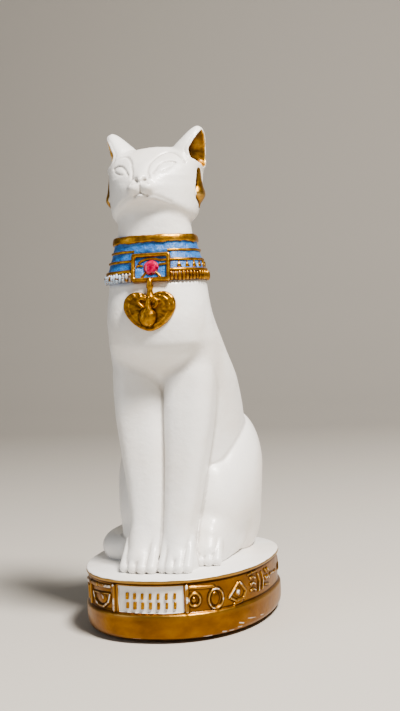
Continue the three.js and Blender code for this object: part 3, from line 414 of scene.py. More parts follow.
def face_lines(q):
    x, z = q[:, 0], q[:, 2]
    front = np.clip((-13.5 - q[:, 1]) / 3.0, 0, 1)
    groove = furrow(x, z, BROW, 0.80, 0.50) + furrow(x, z, LID_TOP, 0.85, 0.42) + furrow(x, z, LID_LOW, 0.36, 0.40)
    groove += furrow(x, z, MOUTH[:12], 0.55, 0.45) + furrow(x, z, MOUTH[12:], 0.24, 0.80)
    groove += furrow(x, z, PHILTRUM, 0.62, 0.40) + furrow(x, z, NOSE_WING, 0.40, 0.45)
    groove += 1.6 * np.exp(-((x - 1.45) / 1.2) ** 2 - ((z - 184.2 - 0.25 * (x - 1.45)) / 0.7) ** 2)
    groove += 0.45 * np.exp(-(x / 2.6) ** 4 - ((z - 185.3) / 0.55) ** 2)
    groove += furrow(x, z, CREASE, 0.30, 0.40)
    socket = np.exp(-(((x - EYE_CENTRE[0]) / 5.8) ** 2 + ((z - 192.2) / 3.9) ** 2) ** 2)
    ball = np.exp(-(((x - EYE_CENTRE[0]) / 3.6) ** 2
        + ((z - EYE_CENTRE[1] - 0.30 * (x - EYE_CENTRE[0])) / 1.5) ** 2) ** 1.5)
    return front * (groove + 0.40 * socket - 0.42 * ball)


print("furrow at the top of the brow:",
    round(float(face_lines(np.array([[11.4, -30, 196.6]], F32))[0]), 2), "mm deep")

# %% [markdown]
# The skull is a wedge whose underside rises from the neck to the chin. A nose, puffed pads for the
# whiskers and a small chin are joined to it. Half a head would do with a Mirror modifier, but that
# leaves a seam down the middle. Here the point's distance from the middle is used, rounded a little
# at zero, so that both halves meet without a crease. The brows and eyes are shifted slightly to one
# side, as they look to be in the photograph.

# %% Skull
JAW_HEIGHT, JAW_RISE, JAW_EVEN = 169.6, 0.41, 0.925      # EVEN makes the slope a true distance again
MIDDLE_ROUND = 0.04


def from_middle(x):
    """Distance from the middle plane, with a rounded bottom."""
    return np.sqrt(x ** 2 + MIDDLE_ROUND)


def head(p):
    q = p.copy()
    q[:, 0] = from_middle(q[:, 0])
    jaw = (JAW_HEIGHT - JAW_RISE * (q[:, 1] + 14.0) - q[:, 2]) * JAW_EVEN
    skull = meet(column(q, HEAD), meet(jaw, JAW_HEIGHT - q[:, 2], 1.5), 2.0)
    skull = fillet(skull, rod(q, (0, -23, 188), (0, -31.4, 184.2), 3.2, 1.7), 3.2)
    skull = fillet(skull, ellipsoid(q, (2.6, -30.1, 181.2), (3.1, 3.7, 2.65)), 1.0)
    skull = fillet(skull, ellipsoid(q, (0, -30.4, 178.2), (2.6, 2.6, 1.1)), 0.8)
    drawn = q.copy()
    drawn[:, 0] = from_middle(p[:, 0] + FACE_SHIFT * np.clip((p[:, 2] - 184.0) / 7.0, 0, 1))
    return skull + face_lines(drawn)


print("head: nose, whisker pads and chin on a skull", HEAD[0, 0], "to", HEAD[-1, 0], "mm high")

# %% [markdown]
# Each ear is a tall cone with a hollow that opens forward and outward, with a thin raised lip. A
# long drop earring hangs behind the cheek. The hollow could be a separate dark shape, but on the
# casting it is a real dent, lined with gold. So the hollow is a column of its own, turned and cut
# away.

# %% Ear hollows and earrings
EAR_OPENS = math.radians(20)
EAR_MOUTH = (20.2, -9.2)


def ear_hollow(q):
    c, s = math.cos(EAR_OPENS), math.sin(EAR_OPENS)
    dx, dy = q[:, 0] - EAR_MOUTH[0], q[:, 1] - EAR_MOUTH[1]
    return column(np.stack([c * dx - s * dy, s * dx + c * dy, q[:, 2]], 1), EAR_HOLLOW)


def earring(q):
    e = q.copy()
    e[:, 1] = (q[:, 1] + 11.2) / 1.5 - 10
    upper = rod(e, (18.5, -10.2, 189.6), (18.2, -10.0, 179.4), 1.3, 3.1)
    return fillet(upper, rod(e, (18.2, -10.0, 179.4), (17.6, -9.7, 174.8), 3.0, 1.4), 1.5)


print("ear hollow turned outward by", round(math.degrees(EAR_OPENS)), "degrees")

# %% [markdown]
# The head and the body are meshed apart, because they need different detail. The collar hides the
# gap. The neck is trimmed inside the collar's wall, because a neck as wide as the collar would show
# through its paint. Moving the collar out instead would leave the solid's shape.

# %% Whole head and whole body
def inside_collar(p):
    c, s = math.cos(COLLAR_TURN), math.sin(COLLAR_TURN)
    x, y = p[:, 0], p[:, 1] - COLLAR_MIDDLE_Y
    turned = np.stack([c * x + s * y, c * y - s * x + COLLAR_MIDDLE_Y, p[:, 2]], 1)
    room = column(turned, COLLAR) + 0.8 - 9.0 * np.clip((p[:, 2] - 160.9) / 1.2, 0, 1)
    return np.where(p[:, 2] > 162.0, -9.0, room).astype(F32)


def whole_head(p):
    d = fillet(trunk(p), head(p), 4.0)
    q = p.copy()
    q[:, 0] = np.abs(q[:, 0])
    d = fillet(d, column(q, EAR), 2.5)
    d = cut(d, ear_hollow(q), 0.4)
    lip = np.clip(1 - np.abs(ear_hollow(q) - 1.5) / 0.55, 0, 1) * (q[:, 2] > 190) * np.clip((-4 - q[:, 1]) / 3, 0, 1)
    d = d + 0.28 * lip
    return fillet(d, earring(q), 0.25)


def whole_body(p):
    d = fillet(trunk(p), front_paws(p), 3.0)
    d = fillet(fillet(d, haunch(p, 1), 0.6), haunch(p, -1), 0.6)
    d = fillet(d, tail(p), 0.5)
    return np.maximum(d, PLINTH_TOP - 0.8 - p[:, 2])


print("body stands", round(PLINTH_TOP - 0.8, 1), "mm up, sunk a little into the plinth")

# %% [markdown]
# Now the distances become a mesh. Blender could do it with a volume and Volume to Mesh, or with a
# voxel remesh, but both would measure all of the empty space and round off the fine furrows. This
# mesher has four steps. It measures a coarse grid, then a fine one only where the skin passes. It
# puts one vertex in each fine cell that the skin crosses. It joins the four cells round each
# crossed grid edge with a face. Last, it draws the vertices onto the skin along its slope.

# %% Measure only near the skin
BLOCK = 4          # fine cells along the side of a coarse one
FAR = 9.0          # a distance that is surely not on the skin
BATCH = 400000     # points measured at a time, to spare memory


def measure(form, low, counts, step):
    """Measure a form coarsely everywhere, and finely only where its skin passes."""
    axes = [low[i] + step * np.arange(counts[i]) for i in range(3)]
    coarse = np.stack(np.meshgrid(*[a[BLOCK // 2::BLOCK] for a in axes], indexing="ij"), -1)
    rough = form(coarse.reshape(-1, 3).astype(F32)).reshape(coarse.shape[:3])
    value = np.where(rough < 0, -FAR, FAR).astype(F32)
    for axis in range(3):
        value = value.repeat(BLOCK, axis)
    value = np.pad(value, [(0, max(0, counts[i] - value.shape[i])) for i in range(3)], mode="edge")
    value = value[: counts[0], : counts[1], : counts[2]]
    blocks = np.argwhere(np.abs(rough) < step * BLOCK * 1.25 + 0.6)
    corners = np.stack(np.meshgrid(*[np.arange(BLOCK + 1)] * 3, indexing="ij"), -1).reshape(1, -1, 3)
    spots = (blocks[:, None, :] * BLOCK + corners).reshape(-1, 3)
    spots = spots[(spots < counts).all(1)]
    key = np.unique((spots[:, 0] * counts[1] + spots[:, 1]) * counts[2] + spots[:, 2])
    spots = np.stack([key // (counts[1] * counts[2]), key // counts[2] % counts[1], key % counts[2]], 1)
    parts = np.array_split(spots, max(1, len(spots) // BATCH))
    value[tuple(spots.T)] = np.concatenate([form((low + step * part).astype(F32)) for part in parts])
    return value


print("coarse cells hold", BLOCK ** 3, "fine ones")

# %% One vertex in each crossed cell
def vertices_in_cells(value, low, step):
    """Put one vertex in each cell that the skin crosses, at the mean of the crossings on its edges."""
    inside = value < 0
    n = inside.shape
    count = np.zeros(tuple(size - 1 for size in n), np.int8)
    for c in np.ndindex(2, 2, 2):
        count += inside[c[0]: n[0] - 1 + c[0], c[1]: n[1] - 1 + c[1], c[2]: n[2] - 1 + c[2]]
    live = (count > 0) & (count < 8)
    cells = np.argwhere(live)
    number = np.full(live.shape, -1, np.int64)
    number[live] = np.arange(len(cells))
    total, hits = np.zeros((len(cells), 3)), np.zeros(len(cells))
    for axis in range(3):
        for c in np.ndindex(2, 2):
            a = np.insert(np.array(c), axis, 0)
            b = np.insert(np.array(c), axis, 1)
            va, vb = value[tuple((cells + a).T)], value[tuple((cells + b).T)]
            crossed = (va < 0) != (vb < 0)
            t = np.where(crossed, va / np.where(crossed, va - vb, 1), 0)
            total += np.where(crossed[:, None], a + t[:, None] * (b - a), 0)
            hits += crossed
    return low + step * (cells + total / hits[:, None]), number, inside


print("a cell counts as crossed with 1 to 7 of its 8 corners inside")

# %% Faces round the crossed edges
def faces_round_edges(inside, number):
    """Join the four cells round each grid edge that passes through the skin, facing outwards."""
    n = inside.shape
    faces = []
    for axis in range(3):
        u, v = [i for i in range(3) if i != axis]
        first, second = [slice(None)] * 3, [slice(None)] * 3
        first[axis], second[axis] = slice(0, n[axis] - 1), slice(1, n[axis])
        a, b = inside[tuple(first)], inside[tuple(second)]
        edge = np.argwhere(a != b)
        edge = edge[(edge[:, u] > 0) & (edge[:, v] > 0) & (edge[:, u] < n[u] - 1) & (edge[:, v] < n[v] - 1)]
        du, dv = np.eye(3, dtype=int)[u], np.eye(3, dtype=int)[v]
        quad = np.stack([number[tuple((edge - back).T)] for back in (du + dv, dv, 0 * du, du)], 1)
        turn = a[tuple(edge.T)] if axis != 1 else ~a[tuple(edge.T)]
        quad[~turn] = quad[~turn][:, ::-1]
        faces.append(quad)
    faces = np.concatenate(faces)
    return faces[(faces >= 0).all(1)]


print("each crossed edge gives one four-sided face")

# %% Draw the vertices onto the skin
def draw_onto_skin(form, points, step):
    """Slide each vertex along the form's slope until it lies on the skin."""
    for _ in range(2):
        e = step * 0.3
        here = form(points.astype(F32))
        slope = np.stack([(form((points + d).astype(F32)) - form((points - d).astype(F32))) / (2 * e)
            for d in np.eye(3) * e], 1)
        size = (slope ** 2).sum(1)
        points = points - np.clip(here / np.maximum(size, 0.25), -step, step)[:, None] * slope * 0.9
    return points


def skin(form, low, high, step):
    """Mesh the form inside a box: vertices in millimetres, and four-sided faces."""
    low, high = np.array(low, float), np.array(high, float)
    counts = (np.ceil((high - low) / (step * BLOCK)).astype(int) + 1) * BLOCK + 1
    points, number, inside = vertices_in_cells(measure(form, low, counts, step), low, step)
    return draw_onto_skin(form, points, step), faces_round_edges(inside, number)


trial_faces = skin(lambda p: rod(p, (0, 0, -2), (0, 0, 2), 3, 3), (-5, -5, -7), (5, 5, 7), 0.5)[1]
print("a trial rod, meshed at half a millimetre, has", len(trial_faces), "faces")

# %% [markdown]
# A mesh also carries marks for the paint: a number at each vertex, kept as an attribute, which a
# material reads with an Attribute node. "gilt" says where gold goes. "hollow" is above zero in
# creases and below zero on ridges: creases are darkened from it as painted shade, and in the gold as
# dark paint too, and ridges get the brighter colour of rubbed wear. Pointiness in the Geometry node
# finds ridges too, but gives no say in how wide they are. So the bend of the surface is measured
# here, from each vertex's normal and its neighbours.

# %% Meshes and their marks
def object_from(name, points, faces):
    """Make a smooth object from arrays of points in millimetres and faces of one size."""
    mesh = bpy.data.meshes.new(name)
    mesh.vertices.add(len(points))
    mesh.vertices.foreach_set("co", (np.asarray(points) * MM).astype(F32).ravel())
    faces = np.asarray(faces)
    mesh.loops.add(faces.size)
    mesh.loops.foreach_set("vertex_index", faces.ravel().astype(np.int32))
    mesh.polygons.add(len(faces))
    mesh.polygons.foreach_set("loop_start", np.arange(0, faces.size, faces.shape[1], dtype=np.int32))
    mesh.polygons.foreach_set("loop_total", np.full(len(faces), faces.shape[1], np.int32))
    mesh.update(calc_edges=True)
    mesh.validate()
    mesh.shade_smooth()
    return add_object(name, mesh)


def mark(obj, name, values):
    """Keep one number for each vertex, for a material to read."""
    layer = obj.data.attributes.new(name, "FLOAT", "POINT")
    layer.data.foreach_set("value", np.asarray(values, F32))


def mark_hollows(obj, gain):
    """Mark creases above zero and ridges below it, from the bend between neighbours."""
    mesh = obj.data
    co, normal = np.empty((len(mesh.vertices), 3), F32), np.empty((len(mesh.vertices), 3), F32)
    edge = np.empty((len(mesh.edges), 2), np.int32)
    mesh.vertices.foreach_get("co", co.ravel())
    mesh.vertices.foreach_get("normal", normal.ravel())
    mesh.edges.foreach_get("vertices", edge.ravel())
    a, b = edge.T
    d = co[b] - co[a]
    d /= np.linalg.norm(d, axis=1)[:, None] + 1e-9
    n = len(co)
    share = np.bincount(a, minlength=n) + np.bincount(b, minlength=n) + 1e-9
    bend = (np.bincount(a, (normal[a] * d).sum(1), n) - np.bincount(b, (normal[b] * d).sum(1), n)) / share
    for _ in range(2):
        bend = 0.5 * bend + 0.5 * (np.bincount(a, bend[b], n) + np.bincount(b, bend[a], n)) / share
    mark(obj, "hollow", np.clip(bend * gain, -1, 1))


print("marks used: gilt, hollow, raised, scratch")

# %% [markdown]
# The head is meshed at half a millimetre, which is just fine enough for the eyelids. The body has
# no line as fine as that, so it is coarser. Gold goes on the lining of the ears and on the
# earrings, where their own distances are near zero. It could be painted by hand in Texture Paint,
# but then it would be lost each time the form changes.

# %% Head
HEAD_STEP = 0.5 if FINE else 0.8
BODY_STEP = 0.8 if FINE else 1.2
NECK_CUT, BODY_CUT = 153.0, 150.0
points, faces = skin(lambda p: np.maximum(np.maximum(whole_head(p), NECK_CUT - p[:, 2]), inside_collar(p)),
                     (-24, -38, 151), (24, 7, 210), HEAD_STEP)
head_piece = object_from("head", points, faces)

side = points.copy()
side[:, 0] = np.abs(side[:, 0])
side = side.astype(F32)

behind = np.abs(side[:, 1] + 4.0) * (side[:, 1] > -4.0)
in_ear = (np.clip(0.5 - (ear_hollow(side) + 0.05) / 0.5, 0, 1)
          * np.clip((22.0 - 0.9 * behind - side[:, 0]) / 0.6, 0, 1))
on_drop = np.clip(1 - (earring(side) - 0.15) / 0.3, 0, 1) * np.clip((side[:, 1] + 0.9 * side[:, 0] - 0.8) / 0.8, 0, 1)
mark(head_piece, "gilt", np.maximum(np.clip(1 - np.abs(ear_hollow(side)) / 0.6, 0, 1) * in_ear * 2, on_drop))
print("head:", len(faces), "faces", round(time.time() - began, 1), "s")

# %% Body
points, faces = skin(
    lambda p: np.maximum(whole_body(p), p[:, 2] - BODY_CUT), (-40, -44, 23.5), (36, 52, 151.5), BODY_STEP)
body_piece = object_from("body", points, faces)
mark(body_piece, "gilt", np.zeros(len(points)))
print("body:", len(faces), "faces", round(time.time() - began, 1), "s")

# %% [markdown]
# Paints are node trees. Laying them out in the Shader Editor is quick for one material. In a script
# a few helpers keep them readable: one makes a node and sets its values, one makes a colour ramp,
# and one starts a shader node group, which is a part that many materials can share.

# %% Helpers for nodes
def make_group(name, inputs, outputs):
    """Start a shader group with named inputs and outputs."""
    group = bpy.data.node_groups.new(name, "ShaderNodeTree")
    for label, kind, default in inputs:
        socket = group.interface.new_socket(label, in_out="INPUT", socket_type=kind)
        if default is not None:
            socket.default_value = default
    for label, kind in outputs:
        group.interface.new_socket(label, in_out="OUTPUT", socket_type=kind)
    return group, group.nodes.new("NodeGroupInput"), group.nodes.new("NodeGroupOutput")


def node(tree, kind, links=None, **settings):
    """Add a node: links go to its inputs, in_NAME sets an input, the rest are its settings."""
    made = tree.nodes.new(kind)
    for key, value in settings.items():
        if key.startswith("in_"):
            index = key[3:]
            made.inputs[int(index) if index.isdigit() else index.replace("_", " ")].default_value = value
        else:
            setattr(made, key, value)
    for socket, source in (links or {}).items():
        tree.links.new(source, made.inputs[socket])
    return made


def ramp(tree, source, stops):
    made = node(tree, "ShaderNodeValToRGB", {0: source})
    while len(made.color_ramp.elements) < len(stops):
        made.color_ramp.elements.new(0.5)
    for element, (place, colour) in zip(made.color_ramp.elements, stops):
        element.position = place
        element.color = colour if len(colour) == 4 else (*colour, 1)
    return made


print("node helpers ready")

# %% [markdown]
# Two effects are shared by nearly all the paints here. "grain" is the fine unevenness of a cast and
# painted skin, in two sizes. "brush" gives the streaks that a hand brush leaves and larger patches
# where the paint lies thicker. Image textures could hold both, but noise needs no files and has no
# seams, because it reads the place of each point on the object.

# %% Grain and brush
grain_group, gi, go = make_group("grain", [("Vector", "NodeSocketVector", None), ("Scale", "NodeSocketFloat", 400.0)],
    [("Height", "NodeSocketFloat")])
coarse = node(grain_group, "ShaderNodeTexNoise", {"Vector": gi.outputs[0]}, in_Detail=3.0)
size = node(grain_group, "ShaderNodeMath", {0: gi.outputs[1]}, operation="MULTIPLY", in_1=0.35)
grain_group.links.new(size.outputs[0], coarse.inputs["Scale"])
fine = node(grain_group, "ShaderNodeTexNoise", {"Vector": gi.outputs[0], "Scale": gi.outputs[1]}, in_Detail=4.0,
    in_Roughness=0.6)
both = node(grain_group, "ShaderNodeMix", {2: coarse.outputs[0], 3: fine.outputs[0]}, data_type="FLOAT", in_0=0.35)
grain_group.links.new(both.outputs[0], go.inputs[0])

brush_group, bi, bo = make_group("brush", [("Vector", "NodeSocketVector", None), ("Scale", "NodeSocketFloat", 250.0)],
    [("Streak", "NodeSocketFloat"), ("Patch", "NodeSocketFloat")])
squeezed = node(brush_group, "ShaderNodeVectorMath", {0: bi.outputs[0]}, operation="MULTIPLY", in_1=(1.0, 1.0, 1.6))
streak = node(brush_group, "ShaderNodeTexNoise", {"Vector": squeezed.outputs[0], "Scale": bi.outputs[1]},
    in_Detail=4.0, in_Roughness=0.55, in_Distortion=0.3)
patch = node(brush_group, "ShaderNodeTexNoise", {"Vector": bi.outputs[0]}, in_Scale=90.0, in_Detail=3.0)
brush_group.links.new(streak.outputs[0], bo.inputs[0])
brush_group.links.new(patch.outputs[0], bo.inputs[1])
print("groups:", grain_group.name, "and", brush_group.name)

# %% [markdown]
# Every paint starts in the same way: a material, its Principled shader, and the place of each point
# on the object. That could be written out for each paint. A helper keeps the paints short, and none
# can forget to read the place.

# %% Start a material
def start_material(name, **settings):
    """A new material: its tree, its Principled shader and the place on the object."""
    material = bpy.data.materials.new(name)
    material.use_nodes = True
    tree = material.node_tree
    shader = tree.nodes["Principled BSDF"]
    for key, value in settings.items():
        shader.inputs[key.replace("_", " ")].default_value = value
    place = tree.nodes.new("ShaderNodeTexCoord").outputs["Object"]
    return material, tree, shader, place


def use_group(tree, group, place, scale):
    made = node(tree, "ShaderNodeGroup", node_tree=group)
    tree.links.new(place, made.inputs["Vector"])
    made.inputs["Scale"].default_value = scale
    return made


def bump(tree, height, distance, strength=1.0):
    return node(tree, "ShaderNodeBump", {"Height": height}, in_Distance=distance, in_Strength=strength)


print("materials read the place on the object, so patterns don't slide")

# %% [markdown]
# The gold is a bronze paint, not metal leaf: streaky, and brighter where it is rubbed. Its hollows
# are browned, partly for the dark paint that lies in them and partly as painted shade. The white is a
# warm glossy paint, greyed in its creases as painted shade. One flat colour would look like plastic.
# So each tone comes from noise, and the "hollow" mark darkens creases and brightens edges.

# %% Gold and white
BRONZE_GOLD = [(0.22, (0.19, 0.085, 0.012)), (0.50, (0.42, 0.205, 0.026)), (0.82, (0.66, 0.38, 0.075))]
# part of this orange is a painted reflection of a warm wooden table
ORANGE_GOLD = [(0.22, (0.17, 0.066, 0.005)), (0.50, (0.255, 0.106, 0.010)), (0.82, (0.37, 0.172, 0.020))]
WHITE, WHITE_WARM = (0.88, 0.865, 0.84), (0.83, 0.79, 0.74)


def gold_colour(tree, place, scale=260.0, tones=BRONZE_GOLD):
    brush = use_group(tree, brush_group, place, scale)
    tone = ramp(tree, brush.outputs["Streak"], tones)
    hollow = node(tree, "ShaderNodeAttribute", attribute_name="hollow")
    # the "hollow" mark browns creases: partly dark paint in the recesses, partly painted shade
    deep = node(tree, "ShaderNodeMapRange", {0: hollow.outputs["Fac"]}, in_1=0.02, in_2=0.35, in_4=0.85)
    # ridges are brightened as rubbed wear, and on the pendant's flute crests as a painted highlight
    worn = node(tree, "ShaderNodeMapRange", {0: hollow.outputs["Fac"]}, in_1=-0.10, in_2=-0.5, in_4=0.55)
    shaded = node(tree, "ShaderNodeMix", {0: deep.outputs[0], 6: tone.outputs[0]}, data_type="RGBA",
        in_7=(0.040, 0.015, 0.003, 1))
    bright = node(tree, "ShaderNodeMix", {0: worn.outputs[0], 6: shaded.outputs[2]}, data_type="RGBA",
        in_7=(0.84, 0.56, 0.18, 1))
    return bright.outputs[2], brush


def white_colour(tree, place):
    cloud = node(tree, "ShaderNodeTexNoise", {"Vector": place}, in_Scale=38.0, in_Detail=3.0)
    tone = ramp(tree, cloud.outputs[0], [(0.32, WHITE_WARM), (0.55, WHITE), (0.75, WHITE)])
    hollow = node(tree, "ShaderNodeAttribute", attribute_name="hollow")
    # painted shade: the "hollow" mark greys the white in its creases
    deep = node(tree, "ShaderNodeMapRange", {0: hollow.outputs["Fac"]}, in_1=0.03, in_2=0.5, in_4=0.55)
    shaded = node(tree, "ShaderNodeMix", {0: deep.outputs[0], 6: tone.outputs[0]}, data_type="RGBA",
        in_7=(0.40, 0.37, 0.34, 1))
    return shaded.outputs[2]


print("golds:", len(BRONZE_GOLD), "and", len(ORANGE_GOLD), "tones")

# %% [markdown]
# The head and the body share one paint: white, with gold where "gilt" says so. Two materials on
# separate faces would also do, but their border would follow the mesh in steps. A mask lets the
# border run through the faces, and a little noise makes it wander as a brush does. The gold is
# metallic and the white isn't, and each has its own roughness.

# %% White paint with gilding
def painted(name):
    material, tree, shader, place = start_material(name, Coat_Weight=0.16, Coat_Roughness=0.12)
    gilt = node(tree, "ShaderNodeAttribute", attribute_name="gilt")
    wander = node(tree, "ShaderNodeTexNoise", {"Vector": place}, in_Scale=900.0, in_Detail=2.0)
    push = node(tree, "ShaderNodeMath", {0: wander.outputs[0]}, operation="MULTIPLY_ADD", in_1=0.5, in_2=-0.25)
    edge = node(tree, "ShaderNodeMath", {0: gilt.outputs["Fac"], 1: push.outputs[0]}, operation="ADD")
    mask = node(tree, "ShaderNodeMapRange", {0: edge.outputs[0]}, in_1=0.42, in_2=0.58)
    gold, brush = gold_colour(tree, place)
    white = white_colour(tree, place)
    colour = node(tree, "ShaderNodeMix", {0: mask.outputs[0], 6: white, 7: gold}, data_type="RGBA")
    tree.links.new(colour.outputs[2], shader.inputs["Base Color"])
    metal = node(tree, "ShaderNodeMath", {0: mask.outputs[0]}, operation="MULTIPLY", in_1=0.92)
    tree.links.new(metal.outputs[0], shader.inputs["Metallic"])
    rough_white = node(tree, "ShaderNodeMapRange", {0: brush.outputs["Patch"]}, in_3=0.30, in_4=0.46)
    rough_gold = node(tree, "ShaderNodeMapRange", {0: brush.outputs["Streak"]}, in_3=0.22, in_4=0.48)
    rough = node(tree, "ShaderNodeMix", {0: mask.outputs[0], 2: rough_white.outputs[0], 3: rough_gold.outputs[0]},
        data_type="FLOAT")
    tree.links.new(rough.outputs[0], shader.inputs["Roughness"])
    grain = use_group(tree, grain_group, place, 520.0)
    tree.links.new(bump(tree, grain.outputs[0], 0.00045, 0.9).outputs[0], shader.inputs["Normal"])
    return material


white_paint = painted("white_and_gilt_paint")
for piece in (head_piece, body_piece):
    # the "hollow" mark gives painted shade in the creases of the white and the gold
    mark_hollows(piece, 6.5)
    piece.data.materials.append(white_paint)
print("white paint on", head_piece.name, "and", body_piece.name)

# %% [markdown]
# The plinth is a rounded block with a moulded wall: a plain lower band, a sunk band with marks, and
# a rim. Its plan is a rounded oval, a little flatter than an ellipse. A Bevel on a cylinder could
# make it, but here the wall needs rows and columns that are fine where the marks are. So the wall
# is a grid, way round by height. The way round is measured in millimetres along the wall from the
# middle of the front, so that marks keep their width all round.

# %% Plan and wall of the plinth
HALF_WIDTH, HALF_LENGTH, WIDEST, PLAN_POWER = 40.4, 49.9, 6.2, 2.26
WALL = [(1.3, 2.3), (1.5, 1.7), (2.1, 0.95), (3.0, 0.45), (4.2, 0.18), (6.0, 0.04), (8.0, 0.0), (10.6, 0.02),
    (11.2, 0.15), (11.6, 0.6), (11.9, 1.1), (12.3, 1.2), (22.9, 1.2), (23.2, 1.5), (23.5, 1.3), (23.9, 0.55),
    (24.4, 0.36), (24.9, 0.42), (25.3, 0.7), (25.5, 1.15)]


def plinth_reach(angle, inset):
    """How far the plinth's wall is from the middle, found by halving the gap."""
    near = np.zeros(np.broadcast(angle, inset).shape)
    far = near + 2 * HALF_LENGTH
    for _ in range(30):
        r = (near + far) / 2
        y = r * np.sin(angle) - WIDEST
        depth = HALF_LENGTH - np.sign(y) * WIDEST - inset
        within = ((np.abs(r * np.cos(angle)) / (HALF_WIDTH - inset)) ** PLAN_POWER
                  + (np.abs(y) / depth) ** PLAN_POWER) < 1
        near, far = np.where(within, r, near), np.where(within, far, r)
    return near


ROUND = 1000 if FINE else 360
dense = np.linspace(-math.pi, math.pi, 4001)
radius = plinth_reach(dense - math.pi / 2, 1.15)
path = np.stack([radius * np.cos(dense - math.pi / 2), radius * np.sin(dense - math.pi / 2)], 1)
length = np.concatenate([[0], np.cumsum(np.hypot(*np.diff(path, axis=0).T))])
length -= length[2000]
PERIMETER = length[-1] - length[0]
way = np.linspace(length[0], length[-1], ROUND + 1)[:-1]
angle = np.interp(way, length, dense)
print("plinth: way round", round(PERIMETER, 1), "mm in", ROUND, "steps")

# %% [markdown]
# The marks on the band are raised strokes, rings and small domes, plain ones without a meaning.
# They could be small objects laid on the wall, but cast marks grow out of their ground with soft
# sides. So each mark lifts the wall by its own height. A stroke is a line of points in (way round,
# height) with a width and a rise in front of it.

# %% Heights of strokes, rings and domes
def rise_of(distance, rise, soft=0.45):
    return rise * np.clip(0.5 - distance / soft, 0, 1) ** 0.7


def stroke_height(s, z, marks):
    top = np.zeros(s.shape, F32)
    for width, rise, *points in marks:
        top = np.maximum(
            top, rise_of(line_distance(s.ravel(), z.ravel(), points).reshape(s.shape) - 0.42 * width, rise))
    return top


def ring_height(s, z, rings):
    top = np.zeros(s.shape, F32)
    for s0, z0, across, upright, width, rise in rings:
        r = np.hypot((s - s0) / across, (z - z0) / upright)
        top = np.maximum(top, rise_of(np.abs(r - 1) * min(across, upright) - 0.4 * width, rise))
    return top


def dome_height(s, z, domes):
    top = np.zeros(s.shape, F32)
    for s0, z0, across, upright, rise in domes:
        r = np.hypot((s - s0) / across, (z - z0) / upright)
        top = np.maximum(top, rise * np.sqrt(np.clip(1 - r ** 2, 0, 1)))
    return top


def ripple(start):
    """A row of small waves, as a line of points round the wall."""
    return [(start + 1.1 * step, 18.3 if step % 2 else 16.5) for step in range(7)]


print("a ripple has", len(ripple(0.0)), "points")

# %% Where the marks are
STROKES = [(1.5, 0.75, (14.9, 22.6), (14.8, 12.4)), (1.3, 0.6, (16.2, 21.7), (26.0, 21.1)),
    (1.0, 0.7, (33.2, 15.4), (38.6, 20.4)),
    (1.2, 0.7, (39.8, 20.2), (43.2, 16.4), (41.6, 13.7), (37.2, 13.3), (34.4, 14.9)),
    (1.1, 0.6, (36.0, 12.3), (40.4, 12.8)), (0.8, 0.5, (45.2, 22.2), (46.9, 22.4)),
    (0.8, 0.5, (48.4, 22.5), (51.6, 22.6)), (1.0, 0.7, (46.8, 20.4), (48.4, 20.9), (50.2, 20.0)),
    (1.0, 0.7, (46.9, 17.9), (48.5, 18.4), (50.3, 17.5)), (1.0, 0.7, (47.0, 15.4), (48.6, 15.9), (50.4, 15.0)),
    (0.9, 0.7, (52.8, 21.0), (54.1, 18.0), (53.2, 14.2)), (0.9, 0.7, (56.4, 21.0), (57.7, 18.0), (56.8, 14.2)),
    (1.1, 0.75, (60.2, 21.4), (61.6, 20.2), (63.2, 21.3), (64.8, 20.1)),
    (1.1, 0.75, (60.1, 18.4), (61.5, 17.2), (63.1, 18.3), (64.7, 17.1)), (1.1, 0.7, (60.2, 15.2), (64.6, 14.4)),
    (1.0, 0.7, (67.4, 18.2), (72.2, 17.8)), (1.0, 0.7, (74.2, 17.6), (77.0, 17.6)),
    (1.5, 0.75, (-16.3, 22.6), (-16.5, 12.6)), (1.9, 0.7, (-45.6, 20.6), (-28.6, 21.4)),
    (1.7, 0.7, (-26.6, 21.6), (-18.4, 21.8)),
    (1.1, 0.75, (-32.4, 17.9), (-31.0, 15.0), (-27.6, 13.4), (-23.2, 13.2), (-19.8, 15.4), (-18.6, 18.6)),
    (0.8, 0.5, (-31.4, 18.0), (-19.2, 18.8)), (1.3, 0.7, (-35.6, 21.0), (-35.8, 12.8)),
    (1.1, 0.6, (-42.6, 18.6), (-41.8, 13.8)), (1.1, 0.6, (-39.8, 18.6), (-40.2, 13.8)), (1.0, 0.6, *ripple(-56.0)),
    (1.1, 0.6, (-63.0, 20.4), (-62.6, 13.8)), (1.0, 0.6, (-80.0, 20.6), (-79.4, 13.6)),
    (1.0, 0.6, (-77.0, 20.4), (-76.4, 16.4)), (1.0, 0.6, (-90.0, 17.4), (-86.0, 17.4)), (1.0, 0.6, *ripple(84.0)),
    (1.1, 0.6, (104.0, 20.4), (104.4, 13.8)), (1.0, 0.6, (108.0, 17.4), (112.0, 17.4)), (1.0, 0.6, *ripple(124.0)),
    (1.0, 0.6, (-128.0, 20.4), (-127.6, 13.8)), (1.0, 0.6, (-104.0, 20.2), (-107.0, 14.2))]
RINGS = [(17.9, 16.8, 2.3, 2.5, 1.0, 0.75), (27.0, 16.2, 3.2, 3.9, 1.0, 0.75), (-70.0, 17.2, 3.0, 3.2, 1.0, 0.6),
    (96.0, 17.2, 3.2, 3.2, 1.0, 0.6), (-98.0, 17.2, 3.0, 3.2, 1.0, 0.6), (117.0, 17.2, 2.8, 3.0, 1.0, 0.6),
    (-118.0, 17.2, 3.2, 3.2, 1.0, 0.6)]
